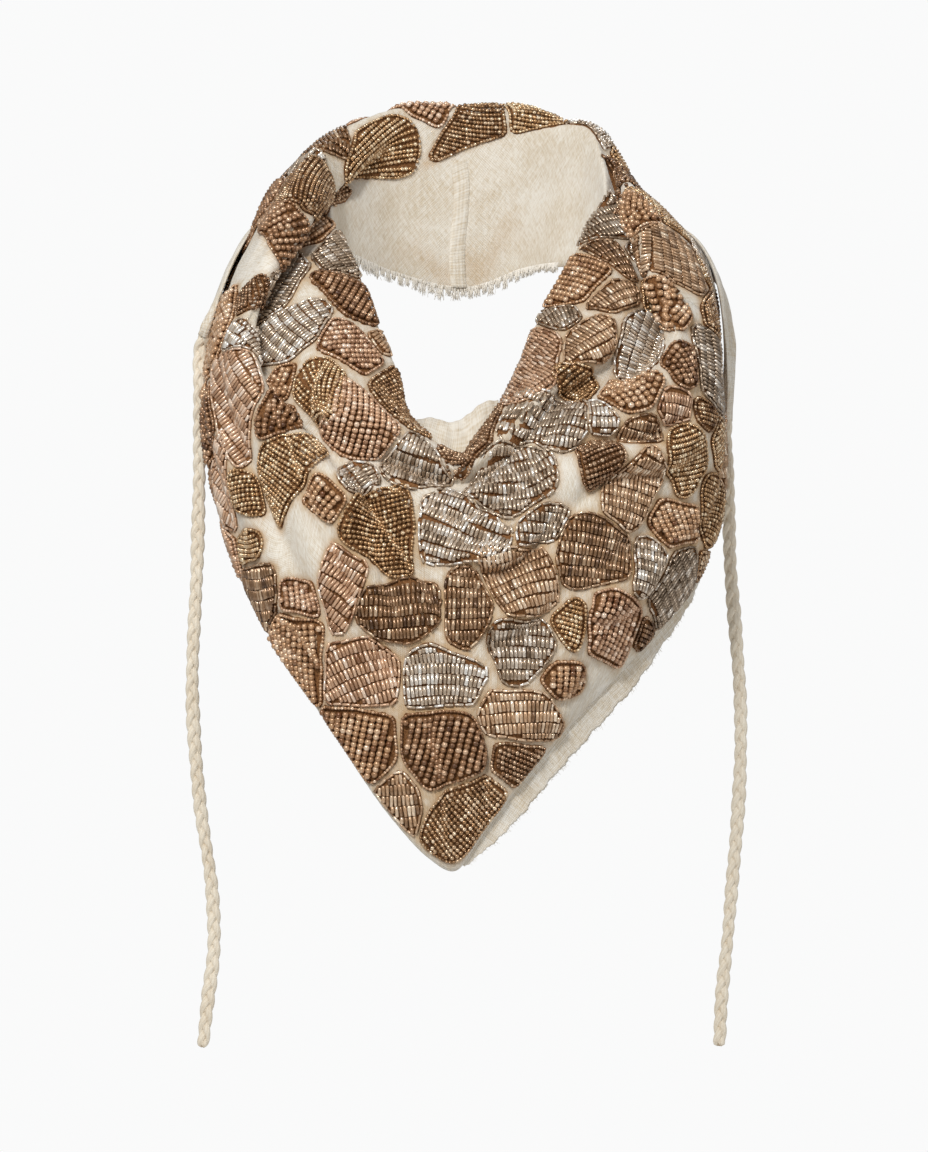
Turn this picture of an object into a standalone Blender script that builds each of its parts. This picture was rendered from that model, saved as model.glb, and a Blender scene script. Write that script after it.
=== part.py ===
"""A beaded bandana as worn: one cloth wound round the neck in folds, and two braided ties.

Millimetres in the tables, metres in the scene. x to the right, y away from the viewer, z up.
The origin is on the inside of the cloth at the middle of the back, where the wearer's nape is.
"""

import math

import bpy
import numpy as np

for old in list(bpy.data.objects):
    bpy.data.objects.remove(old, do_unlink=True)

# The cloth is one sheet round the neck. Each ring is a line that runs along it, from the turned-in
# edge over the fold at the neck, down the valley, over the outer band and the belly to the hem.
# A ring has one point (x, y, z) at each of these angles, 0 at the front and 180 at the nape.
ANGLES = [
    -165, -150, -125, -105, -85, -65, -45, -22, -10, 0, 10, 22, 45, 65, 85, 105, 125, 138, 150, 165, 180,
]
RINGS = {
    "facing_edge": [
        (-35, -8, -33), (-57, -27, -25), (-67, -46, -31), (-61, -66, -41), (-51, -84, -61),
        (-42, -98, -79), (-33, -108, -97), (-25, -122, -122), (-13, -126, -133), (-1, -128, -138),
        (5, -126, -133), (12, -121, -122), (25, -105, -98), (37, -88, -74), (49, -72, -50),
        (64, -54, -30), (68, -42, -30), (60, -32, -30), (47, -22, -30), (30, -9, -32), (0, -2, -41),
    ],
    "facing_middle": [
        (-35, -7, -15), (-58, -25, -12), (-67, -48, -19), (-60, -71, -33), (-51, -89, -53),
        (-43, -104, -72), (-34, -114, -92), (-26, -127, -118), (-13, -131, -128), (-1, -133, -134),
        (5, -131, -128), (13, -126, -117), (26, -110, -93), (38, -94, -67), (50, -79, -45),
        (63, -59, -22), (70, -45, -13), (64, -31, -3), (55, -17, 5), (31, -6, 3), (0, -1, -8),
    ],
    "neck_crest": [
        (-35, -7, 7), (-58, -24, 1), (-67, -52, -6), (-59, -76, -25), (-51, -94, -46),
        (-44, -110, -67), (-35, -120, -88), (-26, -132, -113), (-13, -137, -124), (-1, -138, -130),
        (5, -136, -124), (14, -131, -112), (28, -116, -87), (39, -101, -61), (52, -85, -38),
        (63, -65, -13), (71, -49, 5), (69, -30, 24), (61, -14, 38), (33, -5, 36), (0, 0, 23),
    ],
    "neck_slope": [
        (-35, -7, 21), (-59, -21, 7), (-72, -50, -6), (-75, -88, -33), (-76, -117, -61),
        (-69, -136, -82), (-57, -154, -106), (-30, -154, -122), (-14, -155, -132), (-1, -152, -136),
        (8, -154, -131), (20, -151, -119), (40, -140, -96), (61, -126, -76), (74, -109, -54),
        (75, -78, -24), (77, -43, 4), (73, -24, 24), (65, -9, 43), (34, -4, 43), (0, 0, 39),
    ],
    "valley": [
        (-35, -7, 34), (-64, -18, 15), (-84, -51, -5), (-97, -82, -38), (-105, -105, -70),
        (-89, -131, -102), (-63, -150, -123), (-33, -149, -136), (-16, -149, -142),
        (-1, -149, -144), (10, -148, -140), (23, -147, -132), (48, -137, -103), (83, -120, -90),
        (100, -99, -67), (90, -76, -29), (83, -53, -1), (78, -23, 20), (71, -3, 41), (35, -3, 48),
        (0, 1, 48),
    ],
    "band_edge": [
        (-35, -8, 44), (-61, -35, 13), (-73, -76, -8), (-93, -103, -41), (-102, -124, -73),
        (-89, -143, -108), (-65, -158, -130), (-33, -157, -143), (-16, -158, -149),
        (-2, -157, -150), (11, -157, -146), (24, -155, -139), (50, -147, -110), (84, -137, -96),
        (98, -119, -71), (87, -99, -33), (80, -68, -1), (79, -29, 18), (74, 0, 36), (35, -2, 51),
        (0, 2, 53),
    ],
    "band_crest": [
        (-35, -5, 53), (-66, -33, 36), (-84, -82, 2), (-102, -109, -44), (-110, -131, -80),
        (-94, -148, -117), (-67, -162, -140), (-35, -164, -154), (-17, -165, -158),
        (-2, -165, -161), (11, -164, -155), (26, -162, -148), (54, -156, -119), (90, -144, -105),
        (106, -127, -77), (95, -106, -37), (87, -75, 1), (84, -32, 14), (77, 2, 29), (36, 2, 53),
        (0, 7, 56),
    ],
    "belly_top": [
        (-41, 7, 46), (-77, -12, 28), (-102, -68, -14), (-118, -93, -58), (-121, -117, -104),
        (-100, -144, -147), (-71, -165, -168), (-37, -172, -185), (-18, -174, -188),
        (-2, -175, -190), (12, -174, -186), (29, -172, -180), (64, -163, -152), (98, -142, -137),
        (121, -118, -105), (118, -92, -47), (107, -58, -13), (95, -25, 0), (80, 4, 12),
        (40, 10, 44), (0, 14, 47),
    ],
    "belly": [
        (-44, 13, 18), (-85, 0, 6), (-113, -48, -29), (-125, -76, -78), (-123, -108, -127),
        (-100, -142, -175), (-72, -168, -199), (-40, -178, -223), (-20, -181, -228),
        (-3, -184, -232), (13, -182, -226), (32, -179, -218), (66, -167, -188), (98, -141, -168),
        (124, -110, -131), (125, -77, -68), (120, -38, -28), (105, -12, -17), (88, 10, -5),
        (43, 16, 21), (0, 19, 23),
    ],
    "belly_low": [
        (-46, 15, -3), (-88, 6, -15), (-119, -30, -50), (-124, -62, -100), (-120, -102, -151),
        (-97, -142, -199), (-71, -168, -228), (-38, -180, -264), (-19, -184, -272),
        (-4, -188, -279), (11, -185, -269), (28, -182, -256), (61, -167, -222), (95, -141, -198),
        (124, -103, -158), (127, -63, -92), (122, -21, -52), (106, -3, -37), (88, 12, -22),
        (45, 18, -2), (0, 21, -1),
    ],
    "hem": [
        (-44, 16, -24), (-84, 8, -35), (-114, -14, -72), (-121, -52, -124), (-114, -98, -173),
        (-92, -142, -220), (-66, -166, -257), (-34, -178, -303), (-17, -182, -321),
        (-4, -185, -327), (7, -184, -313), (21, -180, -294), (52, -164, -258), (87, -140, -222),
        (118, -99, -182), (125, -52, -119), (119, -6, -77), (104, 4, -56), (85, 12, -38),
        (45, 18, -24), (0, 21, -24),
    ],
}

# The largest folds besides those of the rings: a valley from start through middle to end, each as
# (angle, ring number), with the cloth raised on one side of it. Depth, rise and width in mm.
FOLDS = [
    # name, start, middle, end, depth, rise, width, side
    ("left_long_swag", (-50, 4.3), (-34, 6.0), (-17, 7.6), 5.0, 5.0, 11.0, -1),
    ("left_side_swag", (-86, 6.6), (-66, 6.9), (-50, 7.8), 4.0, 4.0, 10.0, -1),
    ("right_lapped_fold", (77, 6.6), (56, 6.4), (34, 6.1), 5.0, 4.0, 9.0, 1),
    ("neck_band_lower_edge", (72, 3.4), (56, 3.5), (40, 3.8), 5.0, 4.0, 9.0, -1),
    ("middle_swag", (-4, 6.4), (14, 6.6), (32, 6.2), 4.0, 3.5, 11.0, 1),
    ("under_middle_swag", (2, 7.2), (20, 7.0), (40, 6.7), 3.5, 3.0, 11.0, 1),
    ("left_roll_end", (-62, 3.1), (-56, 3.5), (-50, 4.1), 5.0, 4.0, 8.0, 1),
    ("lower_left_swag", (-44, 8.0), (-22, 8.1), (0, 7.9), 3.0, 3.0, 16.0, 1),
    ("right_low_swag", (66, 7.6), (48, 7.9), (26, 8.1), 3.0, 3.0, 15.0, 1),
    ("back_left_fold", (-168, 8.4), (-150, 8.0), (-128, 7.6), 4.0, 3.0, 13.0, 1),
    ("back_right_fold", (174, 8.6), (150, 8.2), (126, 8.0), 4.0, 3.0, 13.0, 1),
    ("back_upper_fold", (-160, 7.3), (-178, 7.4), (160, 7.5), 3.0, 2.5, 12.0, 1),
]

OUTER = 1.4  # cloth and its beadwork outside the sheet's middle, mm
INNER = 0.7  # cloth inside it, mm
VALLEY_OUTER = 0.6  # the outside in the narrow valley behind the shoulders, where no beads are sewn, mm
SEAM_GAP = 0.3
MOST_MITRE = 0.6
FRONT_ANGLE = 100.0  # the drape runs to this angle on each side, the collar round the back from there
FRONT_STEPS = 50
COLLAR_STEPS = 30
RING_STEPS = [2, 2, 3, 2, 2, 2, 4, 4, 4, 4]  # cells between one ring and the next

TIE_DIAMETER = 6.8
TIE_LEAD = 5.0  # how far the cord runs straight on from its tail, mm
LEFT_TIE = [
    (-131.4, -83, -95), (-131.6, -79, -125), (-133.0, -76, -180), (-135.5, -74, -250), (-132.0, -73, -300),
    (-125.5, -72, -350), (-125.0, -72, -375), (-128.0, -72, -400), (-130.5, -72, -423.5),
]
RIGHT_TIE = [
    (132.6, -61, -136), (133.0, -62, -157), (133.5, -63, -180), (136.5, -64, -220), (138.5, -65, -250),
    (138.5, -66, -280), (137.0, -66, -310), (134.5, -66, -340), (132.0, -66, -370), (129.0, -66, -400),
    (128.0, -66, -423.5),
]
TIE_POINTS = 30

# The plain ends, each a folded strip that lies on the collar and the band. They cross at the nape.
# (angle, ring number, distance out, width, how much further out its rear or lower edge stands)
RIGHT_TAIL = [
    (-163, 9.0, 3.4, 22, 0), (-172, 8.6, 3.4, 26, 0), (180, 8.25, 3.4, 29, 0), (165, 7.95, 3.4, 30, 0),
    (148, 7.85, 3.4, 29, 0), (130, 8.0, 3.6, 26, 1), (118, 8.3, 4.2, 23, 4), (111, 8.7, 4.8, 17, 6),
    (107, 9.2, 5.6, 10, 3), (105.5, 9.7, 6.2, 6, 0),
]
LEFT_TAIL = [
    (163, 9.0, 7.2, 22, 0), (172, 8.6, 7.2, 25, 0), (180, 8.3, 7.2, 28, 0), (-165, 8.2, 6.6, 28, 0),
    (-148, 8.25, 4.2, 26, 0), (-130, 8.25, 3.4, 24, 0), (-117, 7.9, 3.4, 19, 1), (-109, 7.5, 4.0, 12, 1),
    (-105.6, 7.46, 5.2, 7, 0), (-105, 7.6, 5.6, 6, 0),
]
TAIL_WALL = 2.0
TAIL_ACROSS = 8
TAIL_ALONG = 40

# The plain fold that stands inside the front of the neck: its lower edge, middle, upper edge and lip.
INNER_FOLD = {
    "foot": [(-29, -113, -120), (-20, -120, -128), (-5, -126, -137), (8, -124, -132), (18, -116, -122)],
    "middle": [(-27, -110, -114), (-18, -114, -120), (-4, -117, -127), (8, -115, -123), (17, -110, -112)],
    "top": [(-25, -105, -112), (-16, -106, -111), (-4, -107, -113), (9, -106, -104), (17, -103, -102)],
    "lip": [(-24, -99, -113), (-15, -98, -113), (-3, -98, -116), (9, -98, -107), (16, -98, -104)],
}
INNER_FOLD_WALL = 1.2

# The plain strip under the right lower edge: (angle, how far it shows past the beaded cloth).
HEM_BORDER = [(3, 1.5), (12, 7.0), (22, 10.5), (45, 12.0), (60, 11.0), (75, 6.5), (86, 2.0)]
HEM_UNDERLAP = 5.0
HEM_WALL = 1.2

# The raw lower edge of the collar's inside: a narrow strip with locks of thread.
FRAY_FROM = 150.0
FRAY_TO = 210.0
FRAY_STRIP = 3.0
FRAY_LOCKS = 90
FRAY_WALL = 1.0
# (angle, lock's length, mm)
FRAY_LENGTH = [
    (150, 3.5), (158, 2.0), (166, 4.5), (172, 6.0), (180, 5.0), (188, 7.0), (196, 4.0), (204, 6.5), (210, 3.0),
]

ring_table = np.array(list(RINGS.values()), float)


def hermite(knots, values, at):
    """Smooth curve through values at knots, read at the places in at."""
    slopes = np.gradient(values, knots, axis=0)
    cell = np.clip(np.searchsorted(knots, at, side="right") - 1, 0, len(knots) - 2)
    span = knots[cell + 1] - knots[cell]
    t = ((at - knots[cell]) / span)[:, None]
    span = span[:, None]
    low, high = values[cell], values[cell + 1]
    low_slope, high_slope = slopes[cell] * span, slopes[cell + 1] * span
    return (
        low * (2 * t**3 - 3 * t**2 + 1)
        + low_slope * (t**3 - 2 * t**2 + t)
        + high * (3 * t**2 - 2 * t**3)
        + high_slope * (t**3 - t**2)
    )


def smooth_line(points, count):
    """The smooth curve through points, as count points evenly spaced along it."""
    points = np.array(points, float)
    length = np.concatenate([[0], np.cumsum(np.linalg.norm(np.diff(points[:, :3], axis=0), axis=1))])
    fine = hermite(length, points, np.linspace(0, length[-1], 400))
    length = np.concatenate([[0], np.cumsum(np.linalg.norm(np.diff(fine[:, :3], axis=0), axis=1))])
    at = np.linspace(0, length[-1], count)
    return np.stack([np.interp(at, length, fine[:, k]) for k in range(fine.shape[1])], axis=1)


def sheet_points(angles, rings):
    """Points of the unfolded-over sheet at angle, ring pairs, from the table of rings."""
    knots = np.array([a - 360.0 for a in ANGLES[-4:]] + ANGLES + [a + 360.0 for a in ANGLES[:4]])
    table = np.concatenate([ring_table[:, -4:], ring_table, ring_table[:, :4]], axis=1)
    wrapped = (np.asarray(angles, float) + 180.0) % 360.0 - 180.0
    cols = hermite(knots, table.transpose(1, 0, 2).reshape(len(knots), -1), wrapped)
    cols = cols.reshape(len(wrapped), len(ring_table), 3)
    cell = np.clip(np.floor(rings).astype(int), 0, len(ring_table) - 2)
    t = (rings - cell)[:, None]
    each = np.arange(len(wrapped))
    before = np.clip(cell - 1, 0, None)
    after = np.clip(cell + 2, None, len(ring_table) - 1)
    low, high = cols[each, cell], cols[each, cell + 1]
    low_slope = (high - cols[each, before]) / (cell + 1 - before)[:, None]
    high_slope = (cols[each, after] - low) / (after - cell)[:, None]
    return (
        low * (2 * t**3 - 3 * t**2 + 1)
        + low_slope * (t**3 - 2 * t**2 + t)
        + high * (3 * t**2 - 2 * t**3)
        + high_slope * (t**3 - t**2)
    )


def frame_of(points_at, angles, rings):
    """The points, their outward normals and the two directions along the cloth, by small steps each way."""
    here = points_at(angles, rings)
    along = (points_at(angles + 0.4, rings) - points_at(angles - 0.4, rings)) / 0.8
    down = (points_at(angles, rings + 0.03) - points_at(angles, rings - 0.03)) / 0.06
    normal = np.cross(down, along)
    normal /= np.linalg.norm(normal, axis=1)[:, None] + 1e-12
    return here, normal, along, down


def fold_lines():
    """Each fold's valley as a dense line of points on the sheet, with the direction to its raised side."""
    lines = []
    for name, start, middle, end, depth, rise, width, side in FOLDS:
        middle = np.array(middle, float)
        ends = np.array([start, middle, end], float)
        ends[:, 0] = middle[0] + (ends[:, 0] - middle[0] + 180.0) % 360.0 - 180.0
        run = hermite(np.array([0.0, 0.5, 1.0]), ends, np.linspace(0, 1, 60))
        here, normal, along, down = frame_of(sheet_points, run[:, 0], run[:, 1])
        forward = np.gradient(here, axis=0)
        raised = side * np.cross(normal, forward)
        raised /= np.linalg.norm(raised, axis=1)[:, None] + 1e-12
        fade = np.sin(np.pi * np.clip(np.linspace(0.04, 0.96, 60), 0, 1)) ** 0.6
        lines.append((here, raised, fade, depth, rise, width))
    return lines


lines_of_folds = fold_lines()


def cloth_points(angles, rings):
    """The sheet with its folds: down in each valley, up beside it, and leaning a little over it."""
    angles = np.asarray(angles, float)
    rings = np.asarray(rings, float)
    here, normal, along, down = frame_of(sheet_points, angles, rings)
    outer = np.clip((rings - 2.2) / 0.8, 0, 1)
    outer = outer * outer * (3 - 2 * outer)
    moved = np.zeros_like(here)
    for line, raised, fade, depth, rise, width in lines_of_folds:
        gap = here[:, None, :] - line[None, :, :]
        far = np.linalg.norm(gap, axis=2)
        nearest = far.argmin(axis=1)
        each = np.arange(len(here))
        across = (gap[each, nearest] * raised[nearest]).sum(axis=1)
        beyond = np.sqrt(np.clip(far[each, nearest] ** 2 - across**2, 0, None))
        weight = fade[nearest] * np.exp(-((beyond / width) ** 2)) * outer
        valley = -depth * np.exp(-((across / (0.55 * width)) ** 2))
        ridge = rise * np.exp(-(((across - 1.05 * width) / (0.8 * width)) ** 2))
        lean = -0.45 * rise * np.exp(-(((across - 0.75 * width) / (0.55 * width)) ** 2))
        moved += normal * (weight * (valley + ridge))[:, None]
        moved += raised[nearest] * (weight * lean)[:, None]
    return here + moved


def cloth(angles, rings):
    """Points of the folded cloth and their outward normals."""
    here, normal, along, down = frame_of(cloth_points, np.asarray(angles, float), np.asarray(rings, float))
    return here, normal


def material(name, colour, roughness):
    made = bpy.data.materials.new(name)
    made.use_nodes = True
    shader = made.node_tree.nodes["Principled BSDF"]
    shader.inputs["Base Color"].default_value = (*colour, 1.0)
    shader.inputs["Roughness"].default_value = roughness
    made.diffuse_color = (*colour, 1.0)
    return made


def body(name, verts, faces, colour, roughness=0.9):
    mesh = bpy.data.meshes.new(name)
    mesh.from_pydata((np.asarray(verts) / 1000.0).tolist(), [], [list(map(int, f)) for f in faces])
    mesh.validate()
    mesh.update()
    made = bpy.data.objects.new(name, mesh)
    bpy.context.scene.collection.objects.link(made)
    mesh.materials.append(material(name, colour, roughness))
    return made


def wall(name, outer, inner, colour):
    """A closed wall between two grids of points of the same shape."""
    rows, cols = outer.shape[:2]
    verts = np.concatenate([outer.reshape(-1, 3), inner.reshape(-1, 3)])
    first = np.arange(rows * cols).reshape(rows, cols)
    second = first + rows * cols
    faces = []
    for i in range(rows - 1):
        for j in range(cols - 1):
            faces.append((first[i, j], first[i + 1, j], first[i + 1, j + 1], first[i, j + 1]))
            faces.append((second[i, j], second[i, j + 1], second[i + 1, j + 1], second[i + 1, j]))
    for i in range(rows - 1):
        faces.append((first[i, 0], second[i, 0], second[i + 1, 0], first[i + 1, 0]))
        faces.append((first[i, -1], first[i + 1, -1], second[i + 1, -1], second[i, -1]))
    for j in range(cols - 1):
        faces.append((first[0, j], first[0, j + 1], second[0, j + 1], second[0, j]))
        faces.append((first[-1, j], second[-1, j], second[-1, j + 1], first[-1, j + 1]))
    quads = verts[np.array(faces)]
    signed = (np.cross(quads[:, 0], quads[:, 1]) * quads[:, 2]).sum() + (
        np.cross(quads[:, 0], quads[:, 2]) * quads[:, 3]
    ).sum()
    if signed < 0:
        faces = [face[::-1] for face in faces]
    return body(name, verts, faces, colour)


def ring_places():
    places = [0.0]
    for number, steps in enumerate(RING_STEPS):
        places += [number + (k + 1) / steps for k in range(steps)]
    return np.array(places)


def cloth_grid(angles, rings):
    """The sheet all the way round: outer and inner points, rows by ring and columns by angle."""
    a, r = np.meshgrid(angles, rings)
    here = cloth_points(a.ravel(), r.ravel()).reshape(*a.shape, 3)
    # A point's normal is the mean of its faces' normals. At a crease the wall is measured
    # square to the faces.
    closed = np.concatenate([here, here[:, :1]], axis=1)
    faces = np.cross(closed[1:, 1:] - closed[:-1, :-1], closed[:-1, 1:] - closed[1:, :-1])
    faces /= np.linalg.norm(faces, axis=2)[:, :, None]
    normal = np.zeros_like(here)
    for faces_beside in (faces, np.roll(faces, 1, axis=1)):
        normal[1:] += faces_beside
        normal[:-1] += faces_beside
    normal /= np.linalg.norm(normal, axis=2)[:, :, None]
    lean = np.ones(a.shape)
    lean[1:] = np.minimum(lean[1:], (normal[1:] * faces).sum(axis=2))
    lean[:-1] = np.minimum(lean[:-1], (normal[:-1] * faces).sum(axis=2))
    reach = (1 / np.clip(lean, MOST_MITRE, 1))[:, :, None]
    beyond_front = np.clip((np.abs((a + 180.0) % 360.0 - 180.0) - FRONT_ANGLE) / 15.0, 0, 1)
    bare = np.exp(-(((r - 4.0) / 0.9) ** 2)) * beyond_front
    outside = (OUTER - (OUTER - VALLEY_OUTER) * bare)[:, :, None]
    return here + normal * outside * reach, here - normal * INNER * reach, normal


def stretch(name, grid, first, last, colour):
    """The wall between two columns of the whole cloth. Its two ends stand back by half the seam's gap."""
    outer, inner, normal = (np.roll(part, -first, axis=1)[:, : last - first + 1].copy() for part in grid)
    for column, towards in ((0, 1), (-1, -2)):
        inwards = 0.5 * (outer[:, towards] + inner[:, towards] - outer[:, column] - inner[:, column])
        down = np.gradient(0.5 * (outer[:, column] + inner[:, column]), axis=0)
        square = np.cross(normal[:, column], down)
        square /= np.linalg.norm(square, axis=1)[:, None]
        square *= np.sign((square * inwards).sum(axis=1))[:, None]
        outer[:, column] += square * (SEAM_GAP * 0.5 + 0.1)
        inner[:, column] += square * (SEAM_GAP * 0.5 + 0.1)
    wall(name, outer, inner, colour)


def tail_grid(table, rear):
    """A strip on the cloth: its sections stand across the path, at the stated distance outside."""
    table = np.array(table, float)
    table[:, 0] = np.degrees(np.unwrap(np.radians(table[:, 0])))
    path = hermite(np.arange(len(table), dtype=float), table, np.linspace(0, len(table) - 1, TAIL_ALONG))
    here, normal, along, down = frame_of(cloth_points, path[:, 0], path[:, 1])
    here = here + normal * path[:, 2:3]
    forward = np.gradient(here, axis=0)
    across = np.cross(normal, forward)
    across /= np.linalg.norm(across, axis=1)[:, None]
    outer, inner = [], []
    for place in np.linspace(-0.5, 0.5, TAIL_ACROSS):
        arch = 1 - (2 * place) ** 2
        # Where the strip is wide, each point follows the cloth below it. Near the tie, where it is
        # narrow, it is flat.
        step = across * (place * path[:, 3])[:, None]
        basis = np.stack([along, down], axis=2)
        shift = np.stack([np.linalg.lstsq(basis[k], step[k], rcond=None)[0] for k in range(len(step))])
        ring = np.clip(path[:, 1] + shift[:, 1], 5.2, 9.95)
        below, outward = cloth(path[:, 0] + shift[:, 0], ring)
        below = below + outward * path[:, 2:3]
        share = np.clip((path[:, 3] - 8) / 8, 0, 1)[:, None]
        middle = share * below + (1 - share) * (here + step)
        middle = middle + normal * (path[:, 4:5] * max(0.0, 2 * rear * place))
        thick = TAIL_WALL + (1 - share) * (TIE_DIAMETER * 0.7 - TAIL_WALL) * arch
        outer.append(middle + normal * (thick * 0.5 + 0.6 * arch))
        inner.append(middle - normal * (thick * 0.5 - 0.6 * arch * share))
    return np.array(outer), np.array(inner)


def tie(name, points, tail):
    """A round cord that goes on from the end of its tail, through the points of its table."""
    outer, inner = tail
    sections = 0.5 * (outer + inner).mean(axis=0)
    forward = sections[-1] - sections[-2]
    forward /= np.linalg.norm(forward)
    start = [sections[-1] + forward * (SEAM_GAP + 0.8), sections[-1] + forward * TIE_LEAD]
    spine = smooth_line(start + [np.array(point, float) for point in points], TIE_POINTS) / 1000.0
    curve = bpy.data.curves.new(name, "CURVE")
    curve.dimensions = "3D"
    curve.bevel_depth = TIE_DIAMETER / 2000.0
    curve.bevel_resolution = 2
    curve.use_fill_caps = True
    spline = curve.splines.new("POLY")
    spline.points.add(len(spine) - 1)
    for point, place in zip(spline.points, spine):
        point.co = (*place, 1.0)
    made = bpy.data.objects.new(name, curve)
    bpy.context.scene.collection.objects.link(made)
    curve.materials.append(material(name, (0.80, 0.74, 0.62), 0.9))
    return made


def inner_fold():
    rows = np.array(list(INNER_FOLD.values()), float)
    fine = np.array([smooth_line(row, 19) for row in rows])
    tall = hermite(np.arange(4.0), fine.reshape(4, -1), np.linspace(0, 3, 10)).reshape(10, 19, 3)
    down = np.gradient(tall, axis=0)
    along = np.gradient(tall, axis=1)
    normal = np.cross(along, down)
    normal /= np.linalg.norm(normal, axis=2)[:, :, None]
    half = normal * INNER_FOLD_WALL * 0.5
    wall("inner_fold", tall - half, tall + half, (0.88, 0.83, 0.72))


def hem_border():
    angles = np.linspace(HEM_BORDER[0][0], HEM_BORDER[-1][0], 40)
    table = np.array(HEM_BORDER, float)
    shows = np.interp(angles, table[:, 0], table[:, 1])
    here, normal, along, down = frame_of(cloth_points, angles, np.full(len(angles), 9.97))
    here = cloth_points(angles, np.full(len(angles), 10.0))
    # The strip lies flatter than the cloth's edge, so that its face is seen from the front.
    facing = 0.35 * normal + np.array([0.0, -0.65, 0.0])
    facing /= np.linalg.norm(facing, axis=1)[:, None]
    edge = np.gradient(here, axis=0)
    flat = np.cross(edge, facing)
    flat *= np.sign((flat * down).sum(axis=1))[:, None]
    flat /= np.linalg.norm(flat, axis=1)[:, None]
    down /= np.linalg.norm(down, axis=1)[:, None]
    depth = INNER + SEAM_GAP + HEM_WALL * 0.5 + 0.25
    rows = []
    for share in np.linspace(0, 1, 6):
        out = -HEM_UNDERLAP + share * (HEM_UNDERLAP + shows)
        under = down * np.minimum(out, 0)[:, None]
        rows.append(here - normal * depth + under + flat * np.maximum(out, 0)[:, None])
    middle = np.array(rows)
    half = (normal * HEM_WALL * 0.5)[None]
    wall("hem_border", middle + half, middle - half, (0.88, 0.83, 0.72))


def frayed_edge():
    count = 2 * FRAY_LOCKS + 1
    angles = np.linspace(FRAY_FROM, FRAY_TO, count)
    here, normal, along, down = frame_of(cloth_points, angles, np.full(count, 0.03))
    here = cloth_points(angles, np.zeros(count))
    down /= np.linalg.norm(down, axis=1)[:, None]
    table = np.array(FRAY_LENGTH, float)
    length = np.interp(angles, table[:, 0], table[:, 1])
    uneven = 0.75 + 0.25 * np.sin(angles * 3.7) + 0.2 * np.sin(angles * 1.3 + 1)
    tips = np.where(np.arange(count) % 2 == 1, FRAY_STRIP + length * uneven, FRAY_STRIP)
    top = here - down * (SEAM_GAP + 0.15)
    bottom = here - down * (SEAM_GAP + tips)[:, None]
    thin = np.where(np.arange(count) % 2 == 1, 0.35, 1.0)[:, None]
    half = normal * FRAY_WALL * 0.5
    outer = np.array([bottom + half * thin, top + half])
    inner = np.array([bottom - half * thin, top - half])
    wall("frayed_edge", outer, inner, (0.90, 0.86, 0.76))


rings = ring_places()
angles = np.concatenate(
    [
        np.linspace(-FRONT_ANGLE, FRONT_ANGLE, FRONT_STEPS, endpoint=False),
        np.linspace(FRONT_ANGLE, 360.0 - FRONT_ANGLE, COLLAR_STEPS, endpoint=False),
    ]
)
grid = cloth_grid(angles, rings)
stretch("front_drape", grid, 0, FRONT_STEPS, (0.55, 0.38, 0.26))
stretch("collar", grid, FRONT_STEPS, FRONT_STEPS + COLLAR_STEPS, (0.70, 0.58, 0.45))
tails = {}
for name, table, rear in (("tail_right", RIGHT_TAIL, 1), ("tail_left", LEFT_TAIL, -1)):
    tails[name] = tail_grid(table, rear)
    wall(name, *tails[name], (0.86, 0.81, 0.70))
inner_fold()
hem_border()
frayed_edge()
tie("tie_left", LEFT_TIE, tails["tail_left"])
tie("tie_right", RIGHT_TIE, tails["tail_right"])
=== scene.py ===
import math

import bpy
import numpy as np
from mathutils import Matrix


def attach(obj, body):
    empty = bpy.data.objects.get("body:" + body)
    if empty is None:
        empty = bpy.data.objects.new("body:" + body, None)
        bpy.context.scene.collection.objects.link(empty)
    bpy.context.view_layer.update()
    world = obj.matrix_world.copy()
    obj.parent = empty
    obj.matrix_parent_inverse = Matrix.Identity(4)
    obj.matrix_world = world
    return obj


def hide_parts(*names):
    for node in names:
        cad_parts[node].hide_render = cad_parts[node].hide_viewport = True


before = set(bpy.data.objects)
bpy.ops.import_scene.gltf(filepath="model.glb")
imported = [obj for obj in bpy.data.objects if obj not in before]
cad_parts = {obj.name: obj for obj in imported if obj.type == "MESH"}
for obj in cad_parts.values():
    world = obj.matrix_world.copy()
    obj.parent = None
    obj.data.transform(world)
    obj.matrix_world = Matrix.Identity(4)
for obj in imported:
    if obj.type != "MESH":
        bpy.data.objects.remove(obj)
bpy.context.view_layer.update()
dice = np.random.default_rng(41)
print("frame loaded:", ", ".join(sorted(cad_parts)))


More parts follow.
